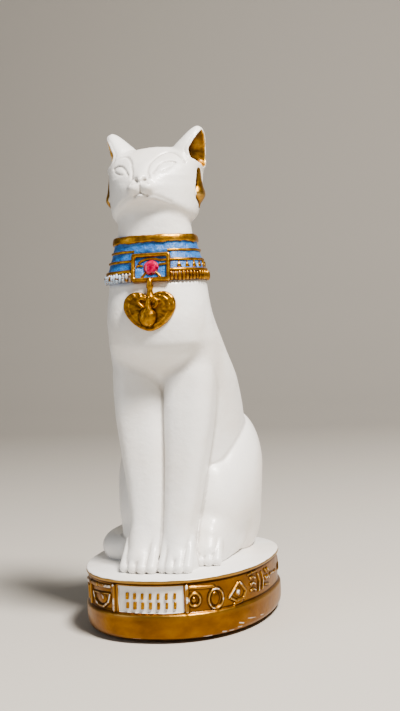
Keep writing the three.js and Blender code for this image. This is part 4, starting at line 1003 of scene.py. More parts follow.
DOMES = [(-24.6, 16.6, 3.4, 2.4, 0.75), (26.6, 16.4, 1.9, 2.7, 0.8), (38.2, 16.8, 1.7, 1.9, 0.8),
    (17.6, 16.8, 1.0, 1.2, 0.6), (-70.0, 17.2, 1.6, 1.6, 0.6), (96.0, 17.2, 1.5, 1.5, 0.6),
    (-118.0, 17.2, 1.6, 1.6, 0.6)]
PANEL_MIDDLE, PANEL_HALF, PANEL_LOW, PANEL_HIGH, PANEL_DEPTH = -0.4, 14.0, 12.0, 22.6, 0.85
print("marks:", len(STROKES), "strokes,", len(RINGS), "rings,", len(DOMES), "domes")

# %% [markdown]
# The panel in front is sunk and white, and two rows of short strokes will stand in it. Here the
# wall is built from its rows, with the marks added and the panel taken away, and closed by a fan of
# triangles above and below. A Displace modifier could move the wall too, but it would need a UV map
# and an image, while a grid of numbers is exact.

# %% Wall of the plinth
def smooth_box(s, z, half, low, high, soft):
    d = np.maximum(np.abs(s) - half, np.maximum(low - z, z - high))
    return np.clip(0.5 - d / soft, 0, 1)


fine_rows = np.arange(12.5, 22.9, 0.25 if FINE else 0.6)
low_rows = np.arange(1.7, 5.8, 0.25)
heights = np.unique(np.concatenate([[h for h, _ in WALL], fine_rows, low_rows]).round(3))
insets = np.interp(heights, [h for h, _ in WALL], [i for _, i in WALL])
ways, levels = np.meshgrid(way, heights, indexing="ij")
turns = np.repeat(angle[:, None], len(heights), 1)
relief = np.maximum.reduce([stroke_height(ways, levels, STROKES), ring_height(ways, levels, RINGS),
    dome_height(ways, levels, DOMES)])
sunk = smooth_box(ways - PANEL_MIDDLE, levels, PANEL_HALF, PANEL_LOW, PANEL_HIGH, 0.35)
left_sunk = smooth_box(ways + 26.6, levels, 8.6, 12.6, 22.7, 0.5)
inset = np.repeat(insets[None, :], len(way), 0) - relief + PANEL_DEPTH * sunk + 0.3 * left_sunk
reach = plinth_reach(turns - math.pi / 2, inset)
wall = np.stack([reach * np.cos(turns - math.pi / 2), reach * np.sin(turns - math.pi / 2), levels], -1)
rows = len(heights)
points = np.concatenate([wall.reshape(-1, 3), [[0, 0, PLINTH_BOTTOM], [0, 0, PLINTH_TOP]]])
i, j = np.meshgrid(np.arange(ROUND), np.arange(rows - 1), indexing="ij")
k = (i + 1) % ROUND
faces = np.stack([i * rows + j, k * rows + j, k * rows + j + 1, i * rows + j + 1], -1).reshape(-1, 4)
ring_ids = np.arange(ROUND)
under = np.stack([(ring_ids + 1) % ROUND * rows, ring_ids * rows, np.full(ROUND, len(points) - 2)], 1)
over = np.stack([ring_ids * rows + rows - 1, (ring_ids + 1) % ROUND * rows + rows - 1,
    np.full(ROUND, len(points) - 1)], 1)


def mixed_faces(name, points, quads, triangles=np.empty((0, 3), int)):
    """Make a smooth object from four-sided faces and triangles."""
    mesh = bpy.data.meshes.new(name)
    mesh.from_pydata((np.asarray(points) * MM).tolist(), [], quads.tolist() + triangles.tolist())
    mesh.shade_smooth()
    return add_object(name, mesh)


plinth_piece = mixed_faces("plinth", points, faces, np.concatenate([under, over]))
print("plinth:", len(faces), "faces")

# %% [markdown]
# On the real plinth the gold has worn off the tops of some marks, and a few scratches in the lower
# band show the white under it. The paint finds both by marks on the mesh: "raised" is the height of
# the relief, and "scratch" is drawn with the same strokes as the relief, but lifts nothing.

# %% Marks for the worn gold
SCRATCHES = [(0.45, 1.0, (37.6, 4.6), (40.2, 3.9)), (0.35, 0.8, (43.0, 5.2), (48.6, 4.3)),
    (0.4, 0.8, (52.6, 4.2), (55.6, 3.8)), (0.6, 1.0, (29.2, 2.6), (31.0, 2.3)), (0.5, 1.0, (32.6, 2.4), (34.8, 2.2)),
    (0.4, 0.9, (37.0, 2.9), (39.4, 2.7)), (0.6, 1.0, (20.8, 1.9), (24.4, 1.8)), (0.3, 0.7, (-8.0, 2.0), (-4.4, 2.1))]
GILT_TOP = 24.75
middles = np.zeros(2)      # the two middle points of the fans, below and above
below_rim = (1 - np.clip((levels - GILT_TOP) / 0.5, 0, 1)).ravel()
mark(plinth_piece, "gilt", np.concatenate([below_rim * (1 - sunk.ravel()), [1, 0]]))
# the "hollow" mark browns the gold's hollows, partly as painted shade, and greys the white's creases
mark_hollows(plinth_piece, 2.6)
mark(plinth_piece, "raised", np.concatenate([np.maximum(relief / 0.75, 0.25 * (levels > 24.3)).ravel(), middles]))
mark(plinth_piece, "scratch", np.concatenate([stroke_height(ways, levels, SCRATCHES).ravel(), middles]))
print("scratches:", len(SCRATCHES))

# %% [markdown]
# The plinth's gold is more orange than the collar's, under the same white; part of that orange is a
# painted reflection of a warm wooden table. Chips are noise, kept only where "raised" is high. The
# scratches let part of the white through. The product of these masks says how much gold is left at a
# point, and drives colour, metal and roughness together. Three separate masks would let a white spot
# stay metallic.

# %% Plinth paint
def plinth_paint():
    material, tree, shader, place = start_material("plinth_paint", Coat_Weight=0.2, Coat_Roughness=0.1)
    gilt = node(tree, "ShaderNodeAttribute", attribute_name="gilt")
    raised = node(tree, "ShaderNodeAttribute", attribute_name="raised")
    wander = node(tree, "ShaderNodeTexNoise", {"Vector": place}, in_Scale=220.0, in_Detail=3.0)
    push = node(tree, "ShaderNodeMath", {0: wander.outputs[0]}, operation="MULTIPLY_ADD", in_1=0.9, in_2=-0.45)
    edge = node(tree, "ShaderNodeMath", {0: gilt.outputs["Fac"], 1: push.outputs[0]}, operation="ADD")
    mask = node(tree, "ShaderNodeMapRange", {0: edge.outputs[0]}, in_1=0.42, in_2=0.55)
    chips = node(tree, "ShaderNodeTexNoise", {"Vector": place}, in_Scale=190.0, in_Detail=4.0, in_Roughness=0.6)
    chip = node(tree, "ShaderNodeMapRange", {0: chips.outputs[0]}, in_1=0.50, in_2=0.56)
    ridge = node(tree, "ShaderNodeMapRange", {0: raised.outputs["Fac"]}, in_1=0.80, in_2=0.98)
    worn = node(tree, "ShaderNodeMath", {0: chip.outputs[0], 1: ridge.outputs[0]}, operation="MULTIPLY")
    keep = node(tree, "ShaderNodeMath", {1: worn.outputs[0]}, operation="SUBTRACT", in_0=1.0)
    scratch = node(tree, "ShaderNodeAttribute", attribute_name="scratch")
    scraped = node(tree, "ShaderNodeMath", {0: scratch.outputs["Fac"], 1: wander.outputs[0]}, operation="MULTIPLY")
    bare = node(tree, "ShaderNodeMapRange", {0: scraped.outputs[0]}, in_1=0.20, in_2=0.36, in_3=1.0, in_4=0.34)
    kept = node(tree, "ShaderNodeMath", {0: keep.outputs[0], 1: bare.outputs[0]}, operation="MULTIPLY")
    covered = node(tree, "ShaderNodeMath", {0: mask.outputs[0], 1: kept.outputs[0]}, operation="MULTIPLY")
    # orange gold, part of it a painted reflection of a warm wooden table
    gold, brush = gold_colour(tree, place, 110.0, ORANGE_GOLD)
    white = white_colour(tree, place)
    colour = node(tree, "ShaderNodeMix", {0: covered.outputs[0], 6: white, 7: gold}, data_type="RGBA")
    tree.links.new(colour.outputs[2], shader.inputs["Base Color"])
    metal = node(tree, "ShaderNodeMath", {0: covered.outputs[0]}, operation="MULTIPLY", in_1=0.92)
    tree.links.new(metal.outputs[0], shader.inputs["Metallic"])
    rough_gold = node(tree, "ShaderNodeMapRange", {0: brush.outputs["Streak"]}, in_3=0.30, in_4=0.46)
    rough = node(tree, "ShaderNodeMix", {0: covered.outputs[0], 3: rough_gold.outputs[0]},
        data_type="FLOAT", in_2=0.36)
    tree.links.new(rough.outputs[0], shader.inputs["Roughness"])
    grain = use_group(tree, grain_group, place, 300.0)
    tree.links.new(bump(tree, grain.outputs[0], 0.0005, 0.8).outputs[0], shader.inputs["Normal"])
    return material


plinth_piece.data.materials.append(plinth_paint())
print("plinth paint:", len(plinth_piece.data.materials[0].node_tree.nodes), "nodes")

# %% [markdown]
# The collar is a wall that flares downwards, with shallow bands. It could be a solidified surface,
# or a Screw modifier, but it is wider than it is deep and has a recess for the buckle. So it is
# lofted: for each height and offset in a list, a ring of points follows the collar's table. The
# recess presses the wall in behind the buckle, so that nothing pokes through the plate.

# %% Collar wall
BUCKLE_X = 0.7
RING_HEIGHTS = [(147.7, 1.0), (151.9, 0.85), (155.9, 0.8)]
RECESS_DEPTH, RECESS_HALF, RECESS_TOP = 1.4, 7.6, 155.2


def collar_point(angle, z, out=0.0):
    """A point on the collar's wall, or a little outside it."""
    _, _, half, front, back, nf, nb = [v[0] for v in at_height(COLLAR, np.array([z]))]
    depth, n = (front, nf) if math.sin(angle) < 0 else (back, nb)
    r = ((abs(math.cos(angle)) / half) ** n + (abs(math.sin(angle)) / depth) ** n) ** (-1 / n) + out
    if math.sin(angle) < 0 and z < RECESS_TOP:
        r -= RECESS_DEPTH * math.exp(-((r * math.cos(angle) - BUCKLE_X) / RECESS_HALF) ** 10)
    x, y = r * math.cos(angle), r * math.sin(angle)
    c, s = math.cos(COLLAR_TURN), math.sin(COLLAR_TURN)
    return (c * x - s * y, s * x + c * y + COLLAR_MIDDLE_Y, z)


AROUND = 360
WALL_LINES = [(143.2, -2.0), (143.5, -0.4), (144.0, 0.2), (146.6, 0.3), (147.2, 0.1), (148.4, 0.0), (150.0, -0.15),
    (151.4, 0.0), (152.6, 0.0), (154.0, -0.15), (155.4, 0.0), (156.6, 0.0), (158.2, -0.15), (159.6, 0.0),
    (160.2, 0.45), (161.6, 0.45), (162.3, 0.2), (162.7, -0.6), (162.8, -2.5)]


def loft(name, lines, around, place):
    """Join rings of points, one for each (height, offset), into a closed wall."""
    pts = [place(2 * math.pi * i / around, z, out) for i in range(around) for z, out in lines]
    n = len(lines)
    quads = [(i * n + j, (i + 1) % around * n + j, (i + 1) % around * n + j + 1, i * n + j + 1)
        for i in range(around) for j in range(n - 1)]
    return mixed_faces(name, pts, np.array(quads))


collar_piece = loft("collar", WALL_LINES, AROUND, collar_point)
print("collar:", len(collar_piece.data.polygons), "faces")

# %% [markdown]
# Rings, lines and beads that follow a path are made with Geometry Nodes. A curve with a bevel would
# draw a tube too, but a tree can also make it uneven, with a named input for how much. In
# sweep_path a circle is swept along the path, its points are pushed by noise, and a material is
# set. The tree realizes its instances, because the export keeps only real faces.

# %% Geometry Nodes: sweep a wire along a path
def start_geometry(name, inputs):
    group = bpy.data.node_groups.new(name, "GeometryNodeTree")
    group.interface.new_socket("Geometry", in_out="INPUT", socket_type="NodeSocketGeometry")
    for label, kind, default in inputs:
        socket = group.interface.new_socket(label, in_out="INPUT", socket_type=kind)
        if default is not None:
            socket.default_value = default
    group.interface.new_socket("Geometry", in_out="OUTPUT", socket_type="NodeSocketGeometry")
    return group, group.nodes.new("NodeGroupInput"), group.nodes.new("NodeGroupOutput")


sweep, si, so = start_geometry("sweep_path", [
    ("Radius", "NodeSocketFloat", 0.0006), ("Wander", "NodeSocketFloat", 0.0001), ("Seed", "NodeSocketInt", 1),
    ("Flatten", "NodeSocketFloat", 1.0), ("Material", "NodeSocketMaterial", None)])
curve = node(sweep, "GeometryNodeMeshToCurve", {0: si.outputs["Geometry"]})
profile = node(sweep, "GeometryNodeCurvePrimitiveCircle", in_Resolution=12)
sweep.links.new(si.outputs["Radius"], profile.inputs["Radius"])
tilted = node(sweep, "GeometryNodeTransform", {"Geometry": profile.outputs[0]})
shape = node(sweep, "ShaderNodeCombineXYZ", {0: si.outputs["Flatten"]}, in_1=1.0, in_2=1.0)
sweep.links.new(shape.outputs[0], tilted.inputs["Scale"])
tube = node(sweep, "GeometryNodeCurveToMesh", {"Curve": curve.outputs[0], "Profile Curve": tilted.outputs[0]})
tube.inputs["Fill Caps"].default_value = True
noise = node(sweep, "ShaderNodeTexNoise", in_Scale=260.0, in_Detail=2.0, noise_dimensions="4D")
sweep.links.new(si.outputs["Seed"], noise.inputs["W"])
centred = node(sweep, "ShaderNodeVectorMath", {0: noise.outputs["Color"]}, operation="SUBTRACT", in_1=(0.5, 0.5, 0.5))
shift = node(sweep, "ShaderNodeVectorMath", {0: centred.outputs[0]}, operation="SCALE")
sweep.links.new(si.outputs["Wander"], shift.inputs["Scale"])
moved = node(sweep, "GeometryNodeSetPosition", {"Geometry": tube.outputs[0], "Offset": shift.outputs[0]})
smooth = node(sweep, "GeometryNodeSetShadeSmooth", {"Geometry": moved.outputs[0]})
real = node(sweep, "GeometryNodeRealizeInstances", {"Geometry": smooth.outputs[0]})
dressed = node(sweep, "GeometryNodeSetMaterial", {"Geometry": real.outputs[0], "Material": si.outputs["Material"]})
sweep.links.new(dressed.outputs[0], so.inputs[0])
print("tree:", sweep.name, "with", len(sweep.nodes), "nodes")

# %% [markdown]
# The second tree sets copies of one small shape along a path, turned to follow it. Each copy gets
# its own size within a range, from a fixed seed, so that it looks cast by hand and comes out the
# same on each run. An Array modifier with a Curve modifier could place them too, but all would be
# alike.

# %% Geometry Nodes: set beads along a path
beads, ei, eo = start_geometry("beads_on_path", [
    ("Count", "NodeSocketInt", 20), ("Bead", "NodeSocketObject", None), ("Seed", "NodeSocketInt", 1),
    ("Unevenness", "NodeSocketFloat", 0.15), ("Material", "NodeSocketMaterial", None)])
curve = node(beads, "GeometryNodeMeshToCurve", {0: ei.outputs["Geometry"]})
points_on = node(beads, "GeometryNodeCurveToPoints", {"Curve": curve.outputs[0], "Count": ei.outputs["Count"]})
facing = node(beads, "FunctionNodeAlignRotationToVector", {"Vector": points_on.outputs["Tangent"]}, axis="X",
    pivot_axis="Z")
bead = node(beads, "GeometryNodeObjectInfo", {"Object": ei.outputs["Bead"]}, transform_space="ORIGINAL")
low = node(beads, "ShaderNodeMath", {1: ei.outputs["Unevenness"]}, operation="SUBTRACT", in_0=1.0)
high = node(beads, "ShaderNodeMath", {1: ei.outputs["Unevenness"]}, operation="ADD", in_0=1.0)
vary = node(beads, "FunctionNodeRandomValue", {"Seed": ei.outputs["Seed"]}, data_type="FLOAT")
beads.links.new(low.outputs[0], vary.inputs[2])
beads.links.new(high.outputs[0], vary.inputs[3])
placed = node(beads, "GeometryNodeInstanceOnPoints",
    {"Points": points_on.outputs["Points"], "Instance": bead.outputs["Geometry"], "Rotation": facing.outputs[0],
    "Scale": vary.outputs[1]})
real = node(beads, "GeometryNodeRealizeInstances", {"Geometry": placed.outputs[0]})
smooth = node(beads, "GeometryNodeSetShadeSmooth", {"Geometry": real.outputs[0]})
dressed = node(beads, "GeometryNodeSetMaterial", {"Geometry": smooth.outputs[0], "Material": ei.outputs["Material"]})
beads.links.new(dressed.outputs[0], eo.inputs[0])
print("tree:", beads.name, "with", len(beads.nodes), "nodes")

# %% [markdown]
# A tree runs as a modifier on a path made of plain edges. Its inputs are set by the socket's
# identifier, because a name can change. The result is then taken as a plain mesh, and the modifier
# is removed, so that the piece is finished before it is given to the body.

# %% Run a tree on a path
def path_object(name, pts):
    """A chain of plain edges through points in millimetres."""
    mesh = bpy.data.meshes.new(name)
    mesh.from_pydata([(x * MM, y * MM, z * MM) for x, y, z in pts], [(i, i + 1) for i in range(len(pts) - 1)], [])
    return add_object(name, mesh)


def run_nodes(obj, group, **inputs):
    """Run a tree on an object, and keep the result as its plain mesh."""
    modifier = obj.modifiers.new(group.name, "NODES")
    modifier.node_group = group
    for item in group.interface.items_tree:
        if item.item_type == "SOCKET" and item.in_out == "INPUT" and item.name in inputs:
            modifier[item.identifier] = inputs[item.name]
    bpy.context.view_layer.update()
    result = bpy.data.meshes.new_from_object(obj.evaluated_get(bpy.context.evaluated_depsgraph_get()))
    old = obj.data
    obj.modifiers.remove(modifier)
    obj.data = result
    result.name = obj.name
    bpy.data.meshes.remove(old)
    return obj


print("paths are in millimetres, tree inputs in metres")

# %% [markdown]
# The collar's field is blue enamel paint, brushed on, with darker and lighter streaks; its palest
# patches are painted highlights. Its gold is the bronze paint of the ears, finer in scale. Both could
# be flat colours with a bump, but the streaks are what makes the real ones look painted by hand.

# %% Blue enamel and gold paint
def enamel():
    material, tree, shader, place = start_material("blue_enamel", Coat_Weight=0.1, Coat_Roughness=0.3)
    brush = use_group(tree, brush_group, place, 240.0)
    # the palest stop of this ramp gives painted highlights
    tone = ramp(tree, brush.outputs["Streak"],
        [(0.30, (0.016, 0.085, 0.30)), (0.50, (0.030, 0.155, 0.46)), (0.66, (0.055, 0.215, 0.56)),
        (0.74, (0.30, 0.50, 0.76))])
    tree.links.new(tone.outputs[0], shader.inputs["Base Color"])
    rough = node(tree, "ShaderNodeMapRange", {0: brush.outputs["Patch"]}, in_3=0.30, in_4=0.46)
    tree.links.new(rough.outputs[0], shader.inputs["Roughness"])
    grain = use_group(tree, grain_group, place, 900.0)
    tree.links.new(bump(tree, grain.outputs[0], 0.0012, 1.0).outputs[0], shader.inputs["Normal"])
    return material


def gold_paint():
    material, tree, shader, place = start_material("gold_paint", Metallic=0.92)
    colour, brush = gold_colour(tree, place, 420.0)
    tree.links.new(colour, shader.inputs["Base Color"])
    rough = node(tree, "ShaderNodeMapRange", {0: brush.outputs["Streak"]}, in_3=0.22, in_4=0.45)
    tree.links.new(rough.outputs[0], shader.inputs["Roughness"])
    grain = use_group(tree, grain_group, place, 700.0)
    tree.links.new(bump(tree, grain.outputs[0], 0.0004, 0.8).outputs[0], shader.inputs["Normal"])
    return material


print("enamel and gold ready")

# %% [markdown]
# The fringe is gold on one side, and mostly white and pale blue on the cat's right, where the gold
# was brushed on thinly. Two materials would change at one bead. Here the place across the object
# mixes the two over a few millimetres, broken by the brush streaks. The bed behind the beads is
# darker in the same way, so that the gaps between them read as shadow.

# %% Fringe paints
def fringe_colours():
    material, tree, shader, place = start_material("fringe_paint", Coat_Weight=0.2, Coat_Roughness=0.15)
    colour, brush = gold_colour(tree, place, 420.0)
    parts = node(tree, "ShaderNodeSeparateXYZ", {0: place})
    far = node(tree, "ShaderNodeMapRange", {0: parts.outputs["X"]}, in_1=-0.004, in_2=-0.010)
    gaps = node(tree, "ShaderNodeMapRange", {0: brush.outputs["Streak"]}, in_1=0.40, in_2=0.46)
    pale = node(tree, "ShaderNodeMath", {0: far.outputs[0], 1: gaps.outputs[0]}, operation="MULTIPLY")
    mixed = node(tree, "ShaderNodeMix", {0: pale.outputs[0], 6: colour}, data_type="RGBA", in_7=(0.50, 0.60, 0.72, 1))
    tree.links.new(mixed.outputs[2], shader.inputs["Base Color"])
    metal = node(tree, "ShaderNodeMath", {0: pale.outputs[0]}, operation="MULTIPLY_ADD", in_1=-0.92, in_2=0.92)
    tree.links.new(metal.outputs[0], shader.inputs["Metallic"])
    rough = node(tree, "ShaderNodeMapRange", {0: brush.outputs["Streak"]}, in_3=0.28, in_4=0.48)
    tree.links.new(rough.outputs[0], shader.inputs["Roughness"])
    return material


def fringe_shade():
    material, tree, shader, place = start_material("fringe_shade", Metallic=0.2)
    parts = node(tree, "ShaderNodeSeparateXYZ", {0: place})
    brush = use_group(tree, brush_group, place, 500.0)
    far = node(tree, "ShaderNodeMapRange", {0: parts.outputs["X"]}, in_1=-0.004, in_2=-0.010)
    brown = ramp(tree, brush.outputs["Streak"], [(0.35, (0.045, 0.020, 0.006)), (0.60, (0.16, 0.075, 0.015))])
    grey = ramp(tree, brush.outputs["Streak"], [(0.35, (0.10, 0.10, 0.11)), (0.52, (0.38, 0.45, 0.56))])
    mixed = node(tree, "ShaderNodeMix", {0: far.outputs[0], 6: brown.outputs[0], 7: grey.outputs[0]},
        data_type="RGBA")
    tree.links.new(mixed.outputs[2], shader.inputs["Base Color"])
    rough = node(tree, "ShaderNodeMapRange", {0: brush.outputs["Patch"]}, in_3=0.35, in_4=0.55)
    tree.links.new(rough.outputs[0], shader.inputs["Roughness"])
    return material


enamel_paint = enamel()
gold = gold_paint()
fringe_paint = fringe_colours()
collar_piece.data.materials.append(enamel_paint)
print("fringe paint:", fringe_paint.name)

# %% [markdown]
# Three gold rings run round the collar and end behind the buckle's edges. They are wires, swept
# along the wall with a little unevenness. The band at the top is wider and flatter than a wire, so
# it is lofted from its own profile, with a slow wave in its edges.

# %% Rings and top band
collar_gold = []
RING_START, RING_END = math.radians(-62), math.radians(245)
for number, (z, radius) in enumerate(RING_HEIGHTS):
    spread = [RING_START + (RING_END - RING_START) * i / 140 for i in range(141)]
    ring_path = path_object(f"collar_ring_{number + 1}", [collar_point(a, z, 0.05) for a in spread])
    collar_gold.append(run_nodes(ring_path, sweep, Radius=radius * 0.72 * MM, Wander=0.55 * MM, Seed=number + 3,
        Flatten=1.0, Material=gold))
BAND_LINES = [(159.3, -0.5), (159.45, 0.45), (159.8, 0.82), (160.6, 0.95), (161.4, 0.95), (162.1, 0.85), (162.5, 0.5),
    (162.6, -0.6)]


def band_point(angle, z, out):
    wave = 0.16 * math.sin(7 * angle + 0.5) + 0.12 * math.sin(13 * angle + 2.0) + 0.08 * math.sin(29 * angle)
    return collar_point(angle, z + wave * (1 if z < 160.6 else -0.5), out)


band_piece = loft("collar_band", BAND_LINES, 240, band_point)
band_piece.data.materials.append(gold)
collar_gold.append(band_piece)
print("gold on the collar:", len(collar_gold), "pieces")

# %% [markdown]
# The fringe is a row of hanging drops over a low bed, and a row of small triangles sits above it on
# the cat's left. Each is one small mesh, repeated along a path by the bead tree. Modelling them one
# by one would take longer and come out no better, and a few dozen faces each are enough at this
# size.

# %% Fringe
bead_mesh = bpy.data.meshes.new("fringe_bead")
bm = bmesh.new()
bmesh.ops.create_uvsphere(bm, u_segments=10, v_segments=8, radius=1.0)
for v in bm.verts:
    v.co = Vector((v.co.x * 0.62, v.co.y * 0.75, v.co.z * (1.9 if v.co.z > 0 else 1.75))) * MM
    v.co.x *= 1.0 + 0.25 * (v.co.z < 0)
bm.to_mesh(bead_mesh)
bm.free()
bead_source = bpy.data.objects.new("fringe_bead", bead_mesh)
spread = [RING_START + (RING_END - RING_START) * i / 240 for i in range(241)]
fringe_path = path_object("collar_fringe", [collar_point(a, 145.2, 0.62) for a in spread])
fringe = run_nodes(fringe_path, beads, Count=66, Bead=bead_source, Seed=11, Unevenness=0.16, Material=fringe_paint)
collar_gold.append(fringe)
BED_LINES = [(143.2, -0.8), (143.4, 0.1), (144.0, 0.36), (146.4, 0.42), (147.0, 0.2), (147.1, -0.8)]
fringe_bed = loft("collar_fringe_bed", BED_LINES, 240, collar_point)
fringe_bed.data.materials.append(fringe_shade())
collar_gold.append(fringe_bed)
print("collar fringe:", len(fringe.data.polygons), "faces")

# %% Row of triangles
tooth_mesh = bpy.data.meshes.new("collar_triangle")
tooth_mesh.from_pydata(
    [(x * MM, y * MM, z * MM) for x, y, z in (
        (-1.15, 0.0, -1.1), (1.15, 0.0, -1.1), (0.0, 0.0, 1.3),
        (-1.3, 0.9, -1.2), (1.3, 0.9, -1.2), (0.0, 0.9, 1.5))],
    [], [(0, 1, 2), (5, 4, 3), (0, 3, 4, 1), (1, 4, 5, 2), (2, 5, 3, 0)])
tooth_source = bpy.data.objects.new("collar_triangle", tooth_mesh)
spread = [math.radians(-50 + 128 * i / 60) for i in range(61)]
triangle_path = path_object("collar_triangles", [collar_point(a, 149.8, 0.4) for a in spread])
triangles = run_nodes(triangle_path, beads, Count=13, Bead=tooth_source, Seed=4, Unevenness=0.12, Material=gold)
collar_gold.append(triangles)
print("triangles:", len(triangles.data.polygons), "faces")

# %% [markdown]
# The buckle is a gold frame round a sunk blue plate. It leans back with the collar and is turned
# with it, so both are drawn flat, and a matrix puts them in place. A Bevel on a box would round the
# frame, but a stack of rounded rectangles gives its moulded profile exactly: the outline steps up,
# over the top and down inside.

# %% Buckle frame and plate
BUCKLE_CENTRE = Vector((2.4, -31.5, 149.1)) * MM
BUCKLE_PLACE = (Matrix.Translation(BUCKLE_CENTRE) @ Matrix.Rotation(COLLAR_TURN, 4, "Z")
                @ Matrix.Rotation(math.pi / 2 - math.radians(14), 4, "X"))
FRAME_WIDE, FRAME_HIGH, FRAME_BAR = 8.0, 5.9, 1.5


def rounded(x, y, r, z, steps=4):
    """A rectangle with rounded corners, as points at one height."""
    out = []
    for cx, cy, start in ((x - r, y - r, 0), (-x + r, y - r, 90), (-x + r, -y + r, 180), (x - r, -y + r, 270)):
        for i in range(steps + 1):
            a = math.radians(start + 90 * i / steps)
            out.append((cx + r * math.cos(a), cy + r * math.sin(a), z))
    return out


def stacked(name, rings, close_ends, matrix):
    """Join rings of points into a solid bar or, with open ends, into a frame."""
    n = len(rings[0])
    pts = [p for ring in rings for p in ring]
    quads = [(a * n + i, a * n + (i + 1) % n, (a + 1) * n + (i + 1) % n, (a + 1) * n + i)
        for a in range(len(rings) - 1) for i in range(n)]
    mesh = bpy.data.meshes.new(name)
    ends = [tuple(range(n))[::-1], tuple(range((len(rings) - 1) * n, len(rings) * n))] if close_ends else [
        ((len(rings) - 1) * n + i, (len(rings) - 1) * n + (i + 1) % n, (i + 1) % n, i) for i in range(n)]
    mesh.from_pydata([tuple(matrix @ Vector((x * MM, y * MM, z * MM))) for x, y, z in pts], [], quads + ends)
    mesh.shade_smooth()
    return add_object(name, mesh)


frame_rings = [rounded(FRAME_WIDE, FRAME_HIGH, 1.1, -4.6), rounded(FRAME_WIDE, FRAME_HIGH, 1.1, 0.35),
    rounded(FRAME_WIDE - 0.15, FRAME_HIGH - 0.15, 1.0, 0.65),
    rounded(FRAME_WIDE - 0.45, FRAME_HIGH - 0.45, 0.85, 0.8), rounded(FRAME_WIDE - 0.9, FRAME_HIGH - 0.9, 0.8, 0.8),
    rounded(FRAME_WIDE - 1.2, FRAME_HIGH - 1.2, 0.75, 0.6),
    rounded(FRAME_WIDE - FRAME_BAR, FRAME_HIGH - FRAME_BAR, 0.7, 0.3),
    rounded(FRAME_WIDE - FRAME_BAR, FRAME_HIGH - FRAME_BAR, 0.7, -4.6)]
buckle_frame = stacked("buckle_frame", frame_rings, False, BUCKLE_PLACE)
buckle_frame.data.materials.append(gold)
plate_rings = [rounded(FRAME_WIDE - 0.7, FRAME_HIGH - 0.7, 0.7, z) for z in (-4.7, -0.6)]
plate = stacked("buckle_plate", plate_rings, True, BUCKLE_PLACE)
plate.data.materials.append(enamel_paint)
plate.data.shade_flat()
print("buckle:", len(buckle_frame.data.polygons), "faces")

# %% [markdown]
# On the plate are a few raised gold lines like an eye, in front of which the stone sits. They are
# low wires made with the sweep tree, half sunk into the plate.

# %% Lines on the plate
EYE_LINES = [
    [(-5.0, 1.9), (-3.6, 2.9), (-1.2, 3.6), (1.4, 3.5), (3.6, 2.9), (6.4, 2.9)],
    [(3.3, 1.0), (4.8, 1.1), (6.4, 1.3)],
    [(-2.2, -2.2), (-3.0, -3.2), (-3.9, -4.2)],
    [(2.0, -2.2), (3.2, -3.2), (4.0, -4.2)],
    [(-5.9, 0.6), (-4.6, 0.9), (-3.2, 0.5)]]
eye_pieces = []
for number, line in enumerate(EYE_LINES):
    pts = [BUCKLE_PLACE @ Vector((x * MM, y * MM, -0.45 * MM)) for x, y in arc(line, 4)]
    eye_pieces.append(run_nodes(path_object(f"buckle_line_{number + 1}", [tuple(p / MM) for p in pts]), sweep,
        Radius=0.48 * MM, Wander=0.25 * MM, Seed=number + 20, Flatten=1.0, Material=gold))
print("lines on the plate:", len(eye_pieces))

# %% [markdown]
# The stone is a round, facet-cut one with a flat table. Facets could be made by cutting a sphere,
# but they would come out uneven. Here points are set on five levels, and their convex hull is
# taken: flat faces appear by themselves where points lie in a plane. It is shaded flat, because
# facets must not blend. The glass is mostly opaque crimson with a strong coat, since such stones
# usually have a foil back that no light passes through. Noise gives its darker and lighter spots.

# %% Stone
GEM_RADIUS = 3.1


def stone_mesh():
    """Points on five levels, closed by their convex hull and put in the buckle."""
    bm = bmesh.new()
    layers = [(0.72, 0.0, 8, 0.0), (1.0, 0.85, 16, 0.0), (1.0, 1.0, 16, 0.5), (0.80, 1.6, 16, 0.0),
        (0.52, 1.95, 8, 0.5)]
    for r, z, n, turn in layers:
        for i in range(n):
            a = 2 * math.pi * (i + turn) / n
            bm.verts.new((GEM_RADIUS * r * math.cos(a), GEM_RADIUS * r * math.sin(a), z))
    bm.verts.new((0, 0, 0))
    bmesh.ops.convex_hull(bm, input=bm.verts)
    bmesh.ops.delete(bm, geom=[v for v in bm.verts if not v.link_faces], context="VERTS")
    bmesh.ops.dissolve_limit(bm, angle_limit=math.radians(1), verts=bm.verts, edges=bm.edges)
    bmesh.ops.recalc_face_normals(bm, faces=bm.faces)
    for v in bm.verts:
        v.co = BUCKLE_PLACE @ (Vector((v.co.x + 0.13, v.co.y - 0.16, v.co.z - 1.25)) * MM)
    mesh = bpy.data.meshes.new("stone")
    bm.to_mesh(mesh)
    bm.free()
    mesh.shade_flat()
    return mesh


stone = add_object("stone", stone_mesh())
stone_glass, tree, shader, place = start_material("rose_stone", Base_Color=(0.90, 0.03, 0.16, 1), Roughness=0.03,
    Transmission_Weight=0.25, IOR=1.6, Coat_Weight=0.8, Coat_Roughness=0.02)
flaw = node(tree, "ShaderNodeTexNoise", {"Vector": place}, in_Scale=500.0, in_Detail=2.0)
tint = ramp(tree, flaw.outputs[0],
    [(0.38, (0.22, 0.002, 0.022)), (0.52, (0.60, 0.006, 0.07)), (0.68, (0.85, 0.05, 0.18))])
tree.links.new(tint.outputs[0], shader.inputs["Base Color"])
stone.data.materials.append(stone_glass)
print("stone:", len(stone.data.polygons), "facets")

# %% [markdown]
# The pendant hangs under the buckle: a heart-shaped plate with flutes that fan out from the middle,
# an oval body on it with two curled arms, and a stem up to the buckle. The plate could be cut from
# a grid, but its edge would be stepped. A polar grid fits it better: its rings are smaller copies
# of the outline, so every ring follows the edge, and the outer rings are closer together for the
# rim.

